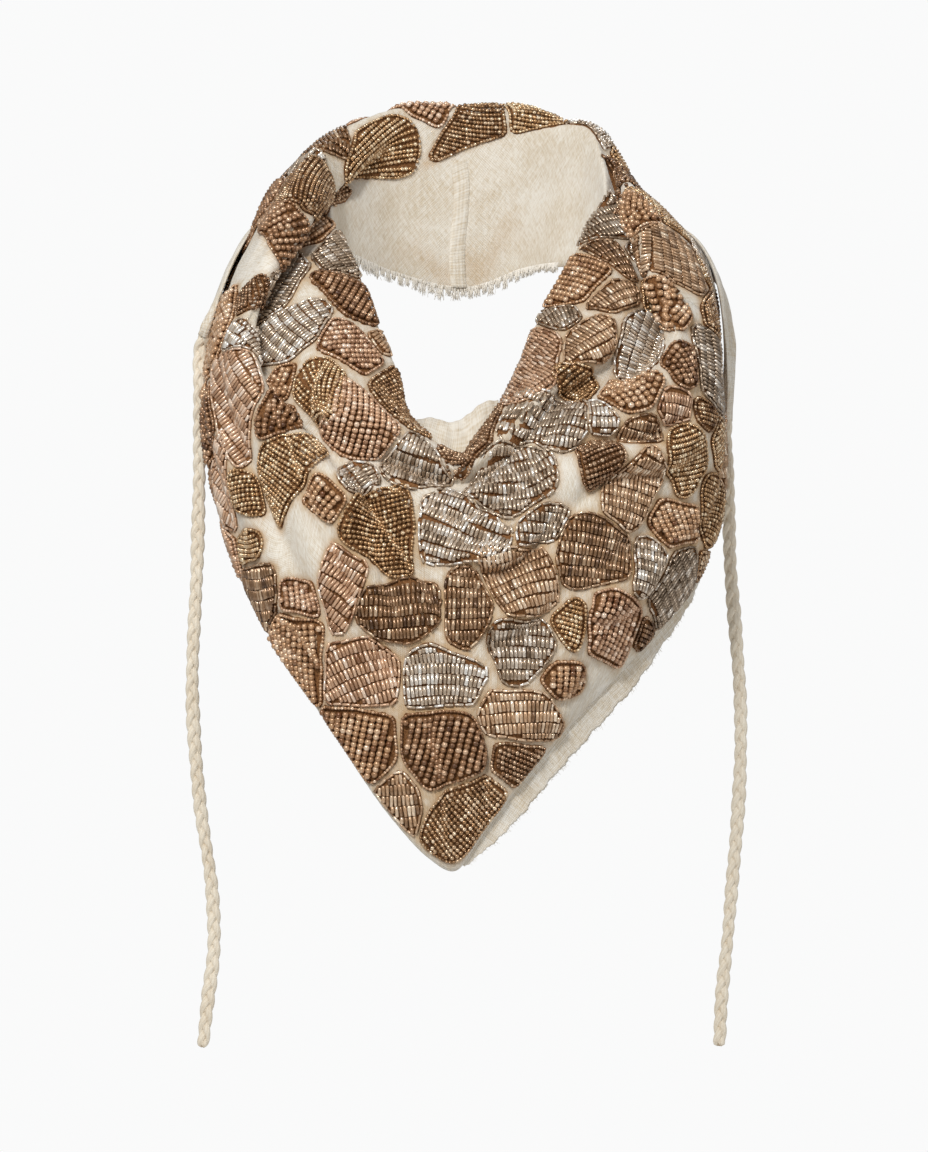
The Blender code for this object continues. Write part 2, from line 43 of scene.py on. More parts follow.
# A socket in a node tree. Arithmetic on it adds Math nodes, and node() adds any other node.
class Shade:
    def __init__(self, tree, socket=None):
        self.tree = tree
        self.socket = socket

    def node(self, kind, settings=None, inputs=None, output=0):
        made = self.tree.nodes.new(kind)
        for name, value in (settings or {}).items():
            if name == "stops":
                ramp = made.color_ramp.elements
                while len(ramp) < len(value):
                    ramp.new(0.5)
                for element, (place, colour) in zip(ramp, value):
                    element.position = place
                    element.color = (*colour, 1.0)
            else:
                setattr(made, name, value)
        for name, value in (inputs or {}).items():
            if isinstance(value, Shade):
                self.tree.links.new(value.socket, made.inputs[name])
            elif isinstance(value, tuple) and len(value) == 3 and made.inputs[name].type == "RGBA":
                made.inputs[name].default_value = (*value, 1.0)
            else:
                made.inputs[name].default_value = value
        return Shade(self.tree, made.outputs[output])

    def maths(self, operation, first, second=0.0, clamp=False):
        settings = {"operation": operation, "use_clamp": clamp}
        return self.node("ShaderNodeMath", settings, {0: first, 1: second})

    def __add__(self, other):
        return self.maths("ADD", self, other)

    def __radd__(self, other):
        return self.maths("ADD", other, self)

    def __sub__(self, other):
        return self.maths("SUBTRACT", self, other)

    def __rsub__(self, other):
        return self.maths("SUBTRACT", other, self)

    def __mul__(self, other):
        return self.maths("MULTIPLY", self, other)

    def __pow__(self, other):
        return self.maths("POWER", self, other)

    def sine(self):
        return self.maths("SINE", self)

    def clamped(self):
        return self.maths("ADD", self, 0.0, clamp=True)

    def blend(self, share, first, second):
        # first * (1 - share) + second * share, for colours
        return self.node("ShaderNodeMix", {"data_type": "RGBA"}, {0: share, 6: first, 7: second}, output=2)

    def ramp(self, share, stops):
        return self.node("ShaderNodeValToRGB", {"stops": stops}, {"Fac": share})

    def noise(self, place, scale, detail):
        return self.node("ShaderNodeTexNoise", {}, {"Vector": place, "Scale": scale, "Detail": detail})

    def bump(self, height, strength, distance):
        return self.node("ShaderNodeBump", {}, {"Height": height, "Strength": strength, "Distance": distance})

    def clothMap(self):
        # the piece's own flat map, whole and as its two parts
        flat = self.node("ShaderNodeUVMap", {"uv_map": "UVMap"})
        parts = self.node("ShaderNodeSeparateXYZ", {}, {"Vector": flat})
        return flat, parts, Shade(self.tree, parts.socket.node.outputs[1])


def newMaterial(name, values):
    # A material with these plain values, its shader, and a Shade to add nodes with.
    made = bpy.data.materials.new(name)
    made.use_nodes = True
    shader = made.node_tree.nodes["Principled BSDF"]
    for label, value in values.items():
        shader.inputs[label].default_value = value
    return made, shader, Shade(made.node_tree)


def link(shade, value, shader, name):
    shade.tree.links.new(value.socket, shader.inputs[name])


# The camera is level with the middle of the picture. Metres, and the lens in mm.
view = {"distance": 2.07, "height": -0.188, "lens": 125.0, "sensorHeight": 36.0}
light = {
    "background": (0.955, 0.957, 0.957),
    "ambient": 0.29,
    "target": (0.0, -0.1, -0.15),  # where every lamp points
    "floorColour": (0.86, 0.86, 0.855, 1.0),
    "floorHeight": -0.62,
    "floorRadius": 0.8,
    "floorCorners": 64,
}
# name: place and size in metres, watts, colour
lamps = {
    "key": ((-0.75, -1.35, 0.95), (0.9, 0.7), 15.5, (1.0, 0.985, 0.96)),
    "glint": ((-0.35, -1.3, 0.75), (0.22, 0.16), 8.0, (1.0, 1.0, 1.0)),
    "fill": ((1.5, -0.85, 0.25), (0.8, 0.9), 6.5, (1.0, 1.0, 1.0)),
    "rear": ((0.2, 1.3, 0.9), (1.0, 0.7), 7.0, (1.0, 1.0, 1.0)),
}


def placeCamera():
    data = bpy.data.cameras.new("camera")
    data.lens = view["lens"]
    data.sensor_fit = "VERTICAL"
    data.sensor_height = view["sensorHeight"]
    made = bpy.data.objects.new("camera", data)
    made.location = (0.0, -view["distance"], view["height"])
    made.rotation_euler = (math.radians(90), 0.0, 0.0)
    bpy.context.scene.collection.objects.link(made)
    bpy.context.scene.camera = made


def areaLight(name, place, size, watts, colour):
    data = bpy.data.lights.new(name, "AREA")
    data.shape = "RECTANGLE"
    data.size, data.size_y = size
    data.energy = watts
    data.color = colour
    made = bpy.data.objects.new(name, data)
    away = np.array(place) - np.array(light["target"])
    flat = math.hypot(away[0], away[1])
    made.location = place
    made.rotation_euler = (math.atan2(flat, away[2]), 0.0, math.atan2(away[0], -away[1]))
    bpy.context.scene.collection.objects.link(made)


def lightStudio():
    world = bpy.data.worlds.new("studio")
    bpy.context.scene.world = world
    world.use_nodes = True
    tree = world.node_tree
    tree.nodes.clear()
    shade = Shade(tree)
    seen = shade.node("ShaderNodeLightPath")
    strength = shade.maths("ADD", seen * (1.0 - light["ambient"]), light["ambient"])
    colour = light["background"]
    shine = shade.node("ShaderNodeBackground", {}, {"Color": colour, "Strength": strength})
    out = tree.nodes.new("ShaderNodeOutputWorld")
    tree.links.new(shine.socket, out.inputs["Surface"])
    for name, settings in lamps.items():
        areaLight(name, *settings)


def layFloor():
    corners = light["floorCorners"]
    angles = np.linspace(0, 2 * math.pi, corners, endpoint=False)
    rim = np.stack([np.cos(angles), np.sin(angles), np.zeros(corners)], axis=1) * light["floorRadius"]
    rim[:, 2] = light["floorHeight"]
    mesh = bpy.data.meshes.new("floor")
    mesh.from_pydata(rim.tolist(), [], [list(range(corners))])
    floor = bpy.data.objects.new("floor", mesh)
    bpy.context.scene.collection.objects.link(floor)
    values = {"Base Color": light["floorColour"], "Roughness": 0.9}
    mesh.materials.append(newMaterial("pale floor", values)[0])


bpy.context.scene.view_settings.view_transform = "Standard"
placeCamera()
lightStudio()
layFloor()
print("camera, lights and floor")

# The cloth is one sheet round the neck, in millimetres, as in the frame. A ring is a line along it, from
# the turned-in edge over the fold at the neck and the outer band to the hem, with a point at each angle,
# 0 at the front.
tableAngles = [
    -165, -150, -125, -105, -85, -65, -45, -22, -10, 0, 10, 22, 45, 65, 85, 105, 125, 138, 150, 165, 180,
]
rings = {
    "facingEdge": [
        (-35, -8, -33), (-57, -27, -25), (-67, -46, -31), (-61, -66, -41), (-51, -84, -61),
        (-42, -98, -79), (-33, -108, -97), (-25, -122, -122), (-13, -126, -133), (-1, -128, -138),
        (5, -126, -133), (12, -121, -122), (25, -105, -98), (37, -88, -74), (49, -72, -50),
        (64, -54, -30), (68, -42, -30), (60, -32, -30), (47, -22, -30), (30, -9, -32), (0, -2, -41),
    ],
    "facingMiddle": [
        (-35, -7, -15), (-58, -25, -12), (-67, -48, -19), (-60, -71, -33), (-51, -89, -53),
        (-43, -104, -72), (-34, -114, -92), (-26, -127, -118), (-13, -131, -128), (-1, -133, -134),
        (5, -131, -128), (13, -126, -117), (26, -110, -93), (38, -94, -67), (50, -79, -45),
        (63, -59, -22), (70, -45, -13), (64, -31, -3), (55, -17, 5), (31, -6, 3), (0, -1, -8),
    ],
    "neckCrest": [
        (-35, -7, 7), (-58, -24, 1), (-67, -52, -6), (-59, -76, -25), (-51, -94, -46),
        (-44, -110, -67), (-35, -120, -88), (-26, -132, -113), (-13, -137, -124), (-1, -138, -130),
        (5, -136, -124), (14, -131, -112), (28, -116, -87), (39, -101, -61), (52, -85, -38),
        (63, -65, -13), (71, -49, 5), (69, -30, 24), (61, -14, 38), (33, -5, 36), (0, 0, 23),
    ],
    "neckSlope": [
        (-35, -7, 21), (-59, -21, 7), (-72, -50, -6), (-75, -88, -33), (-76, -117, -61),
        (-69, -136, -82), (-57, -154, -106), (-30, -154, -122), (-14, -155, -132), (-1, -152, -136),
        (8, -154, -131), (20, -151, -119), (40, -140, -96), (61, -126, -76), (74, -109, -54),
        (75, -78, -24), (77, -43, 4), (73, -24, 24), (65, -9, 43), (34, -4, 43), (0, 0, 39),
    ],
    "valley": [
        (-35, -7, 34), (-64, -18, 15), (-84, -51, -5), (-97, -82, -38), (-105, -105, -70),
        (-89, -131, -102), (-63, -150, -123), (-33, -149, -136), (-16, -149, -142), (-1, -149, -144),
        (10, -148, -140), (23, -147, -132), (48, -137, -103), (83, -120, -90), (100, -99, -67),
        (90, -76, -29), (83, -53, -1), (78, -23, 20), (71, -3, 41), (35, -3, 48), (0, 1, 48),
    ],
    "bandEdge": [
        (-35, -8, 44), (-61, -35, 13), (-73, -76, -8), (-93, -103, -41), (-102, -124, -73),
        (-89, -143, -108), (-65, -158, -130), (-33, -157, -143), (-16, -158, -149), (-2, -157, -150),
        (11, -157, -146), (24, -155, -139), (50, -147, -110), (84, -137, -96), (98, -119, -71),
        (87, -99, -33), (80, -68, -1), (79, -29, 18), (74, 0, 36), (35, -2, 51), (0, 2, 53),
    ],
    "bandCrest": [
        (-35, -5, 53), (-66, -33, 36), (-84, -82, 2), (-102, -109, -44), (-110, -131, -80),
        (-94, -148, -117), (-67, -162, -140), (-35, -164, -154), (-17, -165, -158), (-2, -165, -161),
        (11, -164, -155), (26, -162, -148), (54, -156, -119), (90, -144, -105), (106, -127, -77),
        (95, -106, -37), (87, -75, 1), (84, -32, 14), (77, 2, 29), (36, 2, 53), (0, 7, 56),
    ],
    "bellyTop": [
        (-41, 7, 46), (-77, -12, 28), (-102, -68, -14), (-118, -93, -58), (-121, -117, -104),
        (-100, -144, -147), (-71, -165, -168), (-37, -172, -185), (-18, -174, -188), (-2, -175, -190),
        (12, -174, -186), (29, -172, -180), (64, -163, -152), (98, -142, -137), (121, -118, -105),
        (118, -92, -47), (107, -58, -13), (95, -25, 0), (80, 4, 12), (40, 10, 44), (0, 14, 47),
    ],
    "belly": [
        (-44, 13, 18), (-85, 0, 6), (-113, -48, -29), (-125, -76, -78), (-123, -108, -127),
        (-100, -142, -175), (-72, -168, -199), (-40, -178, -223), (-20, -181, -228), (-3, -184, -232),
        (13, -182, -226), (32, -179, -218), (66, -167, -188), (98, -141, -168), (124, -110, -131),
        (125, -77, -68), (120, -38, -28), (105, -12, -17), (88, 10, -5), (43, 16, 21), (0, 19, 23),
    ],
    "bellyLow": [
        (-46, 15, -3), (-88, 6, -15), (-119, -30, -50), (-124, -62, -100), (-120, -102, -151),
        (-97, -142, -199), (-71, -168, -228), (-38, -180, -264), (-19, -184, -272), (-4, -188, -279),
        (11, -185, -269), (28, -182, -256), (61, -167, -222), (95, -141, -198), (124, -103, -158),
        (127, -63, -92), (122, -21, -52), (106, -3, -37), (88, 12, -22), (45, 18, -2), (0, 21, -1),
    ],
    "hem": [
        (-44, 16, -24), (-84, 8, -35), (-114, -14, -72), (-121, -52, -124), (-114, -98, -173),
        (-92, -142, -220), (-66, -166, -257), (-34, -178, -303), (-17, -182, -321), (-4, -185, -327),
        (7, -184, -313), (21, -180, -294), (52, -164, -258), (87, -140, -222), (118, -99, -182),
        (125, -52, -119), (119, -6, -77), (104, 4, -56), (85, 12, -38), (45, 18, -24), (0, 21, -24),
    ],
}
# name: valley's start, middle and end as (angle, ring), depth, rise beside it, width, side of the rise
folds = {
    "leftLongSwag": ((-50, 4.3), (-34, 6.0), (-17, 7.6), 5, 5, 11, -1),
    "leftSideSwag": ((-86, 6.6), (-66, 6.9), (-50, 7.8), 4, 4, 10, -1),
    "rightLappedFold": ((77, 6.6), (56, 6.4), (34, 6.1), 5, 4, 9, 1),
    "neckBandLowerEdge": ((72, 3.4), (56, 3.5), (40, 3.8), 5, 4, 9, -1),
    "middleSwag": ((-4, 6.4), (14, 6.6), (32, 6.2), 4, 3.5, 11, 1),
    "underMiddleSwag": ((2, 7.2), (20, 7.0), (40, 6.7), 3.5, 3, 11, 1),
    "leftRollEnd": ((-62, 3.1), (-56, 3.5), (-50, 4.1), 5, 4, 8, 1),
    "lowerLeftSwag": ((-44, 8.0), (-22, 8.1), (0, 7.9), 3, 3, 16, 1),
    "rightLowSwag": ((66, 7.6), (48, 7.9), (26, 8.1), 3, 3, 15, 1),
    "backLeftFold": ((-168, 8.4), (-150, 8.0), (-128, 7.6), 4, 3, 13, 1),
    "backRightFold": ((174, 8.6), (150, 8.2), (126, 8.0), 4, 3, 13, 1),
    "backUpperFold": ((-160, 7.3), (-178, 7.4), (160, 7.5), 3, 2.5, 12, 1),
}
# smaller creases, in the same terms as the folds
creases = [
    ((-104, 4.9), (-92, 5.4), (-80, 5.8), 2.1, 1.4, 6.2, 1),
    ((-98, 7.3), (-84, 7.7), (-73, 8.4), 2.3, 1.8, 7.6, -1),
    ((-70, 5.2), (-60, 5.6), (-52, 6.3), 2.0, 1.6, 5.7, 1),
    ((-64, 9.0), (-52, 8.8), (-38, 9.1), 1.8, 1.4, 6.6, 1),
    ((-44, 4.5), (-33, 4.9), (-24, 5.5), 1.8, 1.4, 5.7, -1),
    ((-36, 5.0), (-20, 5.4), (-6, 5.5), 2.2, 1.8, 6.6, 1),
    ((-14, 7.0), (-4, 7.6), (6, 7.7), 2.0, 1.6, 7.6, -1),
    ((-9, 8.6), (-5, 9.1), (-3, 9.8), 2.1, 1.4, 7.6, 1),
    ((5, 8.4), (9, 9.0), (12, 9.7), 1.7, 1.2, 6.6, -1),
    ((16, 5.0), (28, 5.2), (40, 5.0), 2.0, 1.6, 5.7, 1),
    ((40, 8.5), (50, 8.8), (62, 8.7), 2.0, 1.4, 7.6, 1),
    ((30, 9.2), (38, 9.4), (48, 9.3), 1.4, 1.2, 5.7, -1),
    ((70, 8.3), (82, 8.6), (95, 8.4), 2.1, 1.6, 8.5, -1),
    ((84, 5.2), (94, 5.6), (103, 6.3), 2.0, 1.4, 6.6, 1),
    ((88, 7.2), (99, 7.6), (110, 7.7), 2.1, 1.6, 7.6, 1),
    ((50, 4.6), (60, 4.9), (70, 5.2), 1.6, 1.3, 5.2, -1),
    ((112, 5.0), (120, 5.6), (131, 6.0), 1.7, 1.3, 5.7, 1),
    ((118, 8.9), (130, 9.2), (144, 9.1), 1.8, 1.3, 7.6, 1),
    ((136, 6.4), (148, 6.8), (162, 6.7), 2.0, 1.4, 7.6, -1),
    ((-160, 5.6), (-146, 6.1), (-133, 6.3), 1.8, 1.4, 6.6, 1),
    ((-128, 5.1), (-120, 5.7), (-113, 6.4), 2.0, 1.4, 6.2, -1),
    ((-136, 8.9), (-122, 9.0), (-108, 8.7), 1.8, 1.4, 8.5, 1),
    ((168, 5.6), (178, 5.9), (-172, 5.7), 1.7, 1.3, 6.6, 1),
    ((-30, 2.6), (-22, 2.9), (-13, 2.7), 1.2, 1.0, 4.3, 1),
    ((18, 2.9), (30, 2.8), (44, 3.1), 1.3, 1.1, 4.3, 1),
    ((-42, 5.2), (-24, 6.4), (-6, 7.3), 3.7, 3.4, 7.6, -1),
    ((-52, 6.2), (-36, 7.2), (-20, 8.2), 3.4, 3.1, 8.5, -1),
    ((-8, 5.9), (12, 6.0), (34, 5.6), 4.0, 3.6, 7.6, 1),
    ((-6, 6.8), (16, 6.95), (38, 6.5), 3.7, 3.4, 7.6, 1),
    ((36, 6.9), (52, 6.8), (70, 7.1), 3.7, 3.1, 7.6, 1),
    ((6, 7.9), (22, 7.8), (40, 7.5), 3.1, 2.9, 8.5, 1),
]


def cubic(t, low, lowSlope, high, highSlope):
    # The curve from low to high with these slopes, at the share t of the way.
    return (low * (2 * t**3 - 3 * t**2 + 1) + lowSlope * (t**3 - 2 * t**2 + t)
            + high * (3 * t**2 - 2 * t**3) + highSlope * (t**3 - t**2))


def hermite(knots, values, at):
    # Smooth curve through values at knots, read at the places in at: the cubic between two knots
    # with each knot's slope from its neighbours.
    slopes = np.gradient(values, knots, axis=0)
    cell = np.clip(np.searchsorted(knots, at, side="right") - 1, 0, len(knots) - 2)
    span = (knots[cell + 1] - knots[cell])[:, None]
    t = (at - knots[cell])[:, None] / span
    return cubic(t, values[cell], slopes[cell] * span, values[cell + 1], slopes[cell + 1] * span)


def lengthAlong(line):
    # How far each point of a line is from its first, along the line.
    return np.append(0, np.cumsum(np.linalg.norm(np.diff(line, axis=0), axis=1)))


def smoothLine(points, count):
    # The smooth curve through points, as count points evenly spaced along it.
    points = np.array(points, float)
    length = lengthAlong(points)
    fine = hermite(length, points, np.linspace(0, length[-1], 600))
    length = lengthAlong(fine)
    at = np.linspace(0, length[-1], count)
    return np.stack([np.interp(at, length, fine[:, k]) for k in range(3)], axis=1)


def unit(vectors):
    return vectors / (np.linalg.norm(vectors, axis=-1, keepdims=True) + 1e-12)


def dot(first, second):
    return (first * second).sum(axis=-1)


# the sheet's grid: a column at every 0.4 degrees, and 40 rows from ring to ring
columnCount = 900
rowCount = 401
angleStep = 0.4
ringStep = 0.025
columnAngles = np.arange(columnCount) * angleStep - 180.0
rowRings = np.arange(rowCount) * ringStep


def directions(points):
    # The outward normal of a grid that closes on itself in angle, and its two slopes.
    along = (np.roll(points, -1, axis=1) - np.roll(points, 1, axis=1)) / (2 * angleStep)
    down = np.gradient(points, ringStep, axis=0)
    return unit(np.cross(down, along)), along, down


def plainSheet():
    # Every column is a smooth curve through the eleven rings, and every ring one through its angles.
    lap = 4  # columns of the table repeated past each end, so that the curve closes smoothly
    lower = [angle - 360.0 for angle in tableAngles[-lap:]]
    upper = [angle + 360.0 for angle in tableAngles[:lap]]
    knots = np.array(lower + tableAngles + upper)
    table = np.array(list(rings.values()), float)
    table = np.concatenate([table[:, -lap:], table, table[:, :lap]], axis=1).transpose(1, 0, 2)
    columns = hermite(knots, table.reshape(len(knots), -1), columnAngles)
    columns = columns.reshape(columnCount, len(rings), 3)
    cell = np.clip(rowRings.astype(int), 0, len(rings) - 2)
    t = (rowRings - cell)[:, None, None]
    before = np.clip(cell - 1, 0, None)
    after = np.clip(cell + 2, None, len(rings) - 1)
    low, high = columns[:, cell].transpose(1, 0, 2), columns[:, cell + 1].transpose(1, 0, 2)
    lowSlope = (high - columns[:, before].transpose(1, 0, 2)) / (cell + 1 - before)[:, None, None]
    highSlope = (columns[:, after].transpose(1, 0, 2) - low) / (after - cell)[:, None, None]
    return cubic(t, low, lowSlope, high, highSlope)


def readGrid(grid, angle, ring):
    # The grid's value between its points, by the four nearest.
    x = ((np.asarray(angle) + 180.0) % 360.0) / angleStep
    y = np.clip(np.asarray(ring) / ringStep, 0, rowCount - 1.001)
    column, row = x.astype(int), y.astype(int)
    x, y = (x - column)[..., None], (y - row)[..., None]
    column, beside = column % columnCount, (column + 1) % columnCount
    upper = grid[row, column] * (1 - x) + grid[row, beside] * x
    lower = grid[row + 1, column] * (1 - x) + grid[row + 1, beside] * x
    return upper * (1 - y) + lower * y


def foldedSheet():
    # The plain sheet moved along its normals: down in each valley and up beside it, with a lean over it.
    # The distance across a valley sets the height, and the distance past its ends fades it.
    points = plainSheet()
    normal = directions(points)[0]
    base = np.concatenate([points, normal], axis=2)
    outer = np.clip((rowRings - 2.2) / 0.8, 0, 1)  # nothing moves inside the neck
    outer = (outer * outer * (3 - 2 * outer))[:, None]
    steps = 60
    moved = np.zeros_like(points)
    for start, middle, end, depth, rise, width, side in list(folds.values()) + creases:
        ends = np.array([start, middle, end], float)
        ends[:, 0] = ends[1, 0] + (ends[:, 0] - ends[1, 0] + 180.0) % 360.0 - 180.0
        run = hermite(np.array([0.0, 0.5, 1.0]), ends, np.linspace(0, 1, steps))
        line = readGrid(base, run[:, 0], run[:, 1])
        line, upright = line[:, :3], line[:, 3:]
        raised = unit(side * np.cross(upright, np.gradient(line, axis=0)))
        fade = np.sin(np.pi * np.linspace(0.04, 0.96, steps)) ** 0.6
        reach = 2.7 * width
        near = ((points > line.min(axis=0) - reach) & (points < line.max(axis=0) + reach)).all(axis=2)
        here = points[near]
        far = np.stack([((here - place) ** 2).sum(axis=1) for place in line], axis=1)
        nearest = far.argmin(axis=1)
        across = dot(here - line[nearest], raised[nearest])
        beyond = np.clip(far[np.arange(len(here)), nearest] - across**2, 0, None)
        weight = fade[nearest] * np.exp(-beyond / width**2)
        valley = -depth * np.exp(-((across / (0.55 * width)) ** 2))
        ridge = rise * np.exp(-(((across - 1.05 * width) / (0.8 * width)) ** 2))
        lean = -0.45 * rise * np.exp(-(((across - 0.75 * width) / (0.55 * width)) ** 2))
        moved[near] += normal[near] * (weight * (valley + ridge))[:, None]
        moved[near] += raised[nearest] * (weight * lean)[:, None]
    return points + moved * outer[:, :, None]


sheetPoints = foldedSheet()
sheetNormal, sheetAlong, sheetDown = directions(sheetPoints)
sheetFine = np.concatenate([sheetPoints, sheetNormal, sheetAlong, sheetDown], axis=2)
print("sheet with", len(folds) + len(creases), "folds and creases")


def surfaceAt(angle, ring):
    # Point, outward normal, and the slopes along and down the cloth.
    found = readGrid(sheetFine, angle, ring)
    return found[..., :3], unit(found[..., 3:6]), found[..., 6:9], found[..., 9:]


def newPiece(name, points, faces, material, uvs=None, values=None):
    # Points in mm, faces all triangles or all quads, and a map and values for each point.
    mesh = bpy.data.meshes.new(name)
    mesh.vertices.add(len(points))
    mesh.vertices.foreach_set("co", (np.asarray(points, np.float64) / 1000.0).astype(np.float32).ravel())
    corners = faces.ravel().astype(np.int32)
    sizes = np.full(len(faces), faces.shape[1]).astype(np.int32)
    mesh.loops.add(len(corners))
    mesh.loops.foreach_set("vertex_index", corners)
    mesh.polygons.add(len(sizes))
    mesh.polygons.foreach_set("loop_start", (np.cumsum(sizes) - sizes).astype(np.int32))
    mesh.polygons.foreach_set("loop_total", sizes)
    mesh.polygons.foreach_set("use_smooth", np.full(len(sizes), True))
    mesh.update(calc_edges=True)
    if uvs is not None:
        layer = mesh.uv_layers.new(name="UVMap")
        layer.data.foreach_set("uv", np.asarray(uvs, np.float32)[corners].ravel())
    for label, value in (values or {}).items():
        attribute = mesh.attributes.new(label, "FLOAT", "POINT")
        attribute.data.foreach_set("value", np.asarray(value, np.float32))
    mesh.validate()
    mesh.materials.append(material)
    made = bpy.data.objects.new(name, mesh)
    bpy.context.scene.collection.objects.link(made)
    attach(made, "root")
    return made


def gridFaces(rows, columns, closed=False, first=0):
    # Quads between the points of a grid, closed round its columns if asked.
    index = first + np.arange(rows * columns).reshape(rows, columns)
    if closed:
        index = np.concatenate([index, index[:, :1]], axis=1)
    corners = [index[:-1, :-1], index[1:, :-1], index[1:, 1:], index[:-1, 1:]]
    return np.stack(corners, axis=-1).reshape(-1, 4)


def tubeFaces(rows, sides, first=0):
    # Triangles round a tube of rows of points, with both ends closed.
    quads = gridFaces(rows, sides, closed=True, first=first)
    fan = np.arange(1, sides - 1)
    last = first + (rows - 1) * sides
    return np.concatenate([
        quads[:, :3], quads[:, [0, 2, 3]],
        np.stack([np.full_like(fan, first), first + fan, first + fan + 1], axis=1),
        np.stack([np.full_like(fan, last), last + fan + 1, last + fan], axis=1),
    ])


def shellFaces(rows, columns):
    # An outer and an inner grid with the rim between them.
    outer = gridFaces(rows, columns)
    inner = gridFaces(rows, columns, first=rows * columns)[:, ::-1]
    index = np.arange(rows * columns).reshape(rows, columns)
    rim = np.concatenate([index[0, :-1], index[:-1, -1], index[-1, :0:-1], index[:0:-1, 0]])
    ahead = np.roll(rim, -1)
    size = rows * columns
    return np.concatenate([outer, inner, np.stack([rim, ahead, ahead + size, rim + size], axis=1)])


def outwards(points, faces):
    # Turns the faces round if the closed shape is inside out.
    a, b, c = (points[faces[:, k]] for k in range(3))
    volume = (np.cross(a, b) * c).sum()
    if faces.shape[1] == 4:
        volume += (np.cross(a, c) * points[faces[:, 3]]).sum()
    return faces if volume > 0 else faces[:, ::-1]


def shellPiece(name, outer, inner, flat, material, values=None):
    # A closed shell between two grids of points that share a flat map.
    rows, columns = outer.shape[:2]
    points = np.concatenate([outer.reshape(-1, 3), inner.reshape(-1, 3)])
    flat = flat.reshape(-1, 2)
    faces = outwards(points, shellFaces(rows, columns))
    return newPiece(name, points, faces, material, uvs=np.concatenate([flat, flat]), values=values)


# Beads are sewn in patches, each of one kind. For a kind: the bead's length and width, how far apart
# beads stand along a row and rows from each other, whether the beads lie across their row, and the
# finish. Lengths in mm.
kinds = {
    "copper": (2.6, 3.35, 2.72, 3.3, False, "copper"),
    "rose": (2.4, 3.0, 2.5, 2.98, False, "rose"),
    "russet": (2.5, 3.2, 2.62, 3.15, False, "russet"),
    "gold": (1.95, 2.2, 2.06, 2.2, False, "gold"),
    "bronze": (1.9, 2.15, 2.0, 2.15, False, "bronze"),
    "brown": (2.0, 2.3, 2.1, 2.3, False, "brown"),
    "silverTube": (4.9, 1.85, 2.02, 5.25, True, "silver"),
    "roseTube": (4.9, 1.85, 2.02, 5.25, True, "blush"),
    "tanTube": (4.9, 1.85, 2.02, 5.25, True, "tan"),
    "greyTube": (4.9, 1.85, 2.02, 5.25, True, "grey"),
    "brownTube": (4.9, 1.85, 2.02, 5.25, True, "umber"),
}
# The layout is a general one. Patches of chance sizes are strewn over the whole cloth, the large ones
# first, each as far from the others as their sizes ask. Now and then a place is left bare.
strewing = {
    "kinds": ["copper", "silverTube", "gold", "roseTube", "rose", "bronze", "tanTube", "copper", "greyTube",
              "gold", "russet", "bare", "brownTube", "silverTube", "brown"],
    "smallest": 9.0,
    "largest": 22.0,
    "spread": 0.86,  # how near two patches come, as a share of both radii
    "tries": 7500,
    "squash": [0.72, 0.85, 1.1, 1.3, 1.45],  # a patch's width over its reach, and its reach over its height
    "upright": ("copper", "rose", "russet"),  # kinds whose rows run down the patch
}
sewing = {
    "chart": 45.0,  # how far each patch's own flat map reaches, mm
    "mapStep": 1.5,
    "gap": 1.15,
    "grow": 1.43,  # every patch's size over the one it was strewn with
    "rim": 60,
    "lift": 0.42,  # the thread ground's height over the sheet's middle
    "neckRing": 1.65,  # how far the beadwork goes over the neck's edge, and where it ends at the nape
    "napeRing": 2.5,
    "hemRing": 9.93,
    "corner": 1.1,  # how far the corners of an outline are rounded, mm
    "near": 75.0,  # only patches this near limit each other, mm
    "fill": 44.0,  # how far from its centre a patch is filled, mm
    "rowReach": 40.0,  # how far its last row may be, mm, and how many rows are tried each way
    "mostRows": 40,
    "runStep": 0.25,
}
# how beads differ: tone 0 is a finish's darkest and 1 its lightest
chance = {
    "tone": 0.47,
    "patchTone": 0.1,
    "toneSpread": 0.18,
    # a share of beads lifted towards their lightest tone: painted glints of the lined glass
    "paintedGlintShare": 0.14,
    "paintedGlintLift": (0.2, 0.5),
    "sizeSpread": 0.045,
    "sizeLimits": (0.88, 1.12),
    "nod": 0.05,
    "swing": 0.04,
    "lift": 0.05,
}


def topEdge(angle):
    # The ring where the beadwork ends: over the edge of the neck, but outside it at the nape and in
    # the middle of the front.
    away = np.abs((angle + 180.0) % 360.0 - 180.0)
    rear = np.clip((away - 112) / 20, 0, 1)
    middle = np.clip(1 - away / 14, 0, 1)
    return sewing["neckRing"] + (sewing["napeRing"] - sewing["neckRing"]) * rear + 0.5 * middle


def strewPatches():
    # A patch is its kind, angle, ring, half its width and height, tilt, how far its rows turn from its
    # width, in degrees, and how much the rows bend, in thousandths of a mm^-1.
    centres = np.zeros((0, 3))
    reaches = np.zeros(0)
    made = []
    for count in range(strewing["tries"]):
        angle = dice.uniform(-180, 180)
        ring = dice.uniform(topEdge(angle) + 0.15, 9.75)
        share = max(0.0, 1.0 - count / (0.8 * strewing["tries"]))
        more = (strewing["largest"] - strewing["smallest"]) * share
        reach = strewing["smallest"] + more * dice.uniform(0.5, 1)
        here = surfaceAt(angle, ring)[0]
        if (np.linalg.norm(centres - here, axis=1) < strewing["spread"] * (reaches + reach)).any():
            continue
        kind = strewing["kinds"][len(reaches) % len(strewing["kinds"])]
        squash = dice.choice(strewing["squash"])
        turn = dice.uniform(-20, 20) + (82 if kind in strewing["upright"] else 0)
        if kind != "bare":
            made.append((kind, angle, ring, reach * squash, reach / squash, dice.uniform(-30, 30), turn,
                         dice.uniform(-10, 12)))
        centres = np.vstack([centres, here])
        reaches = np.append(reaches, reach)
    return made


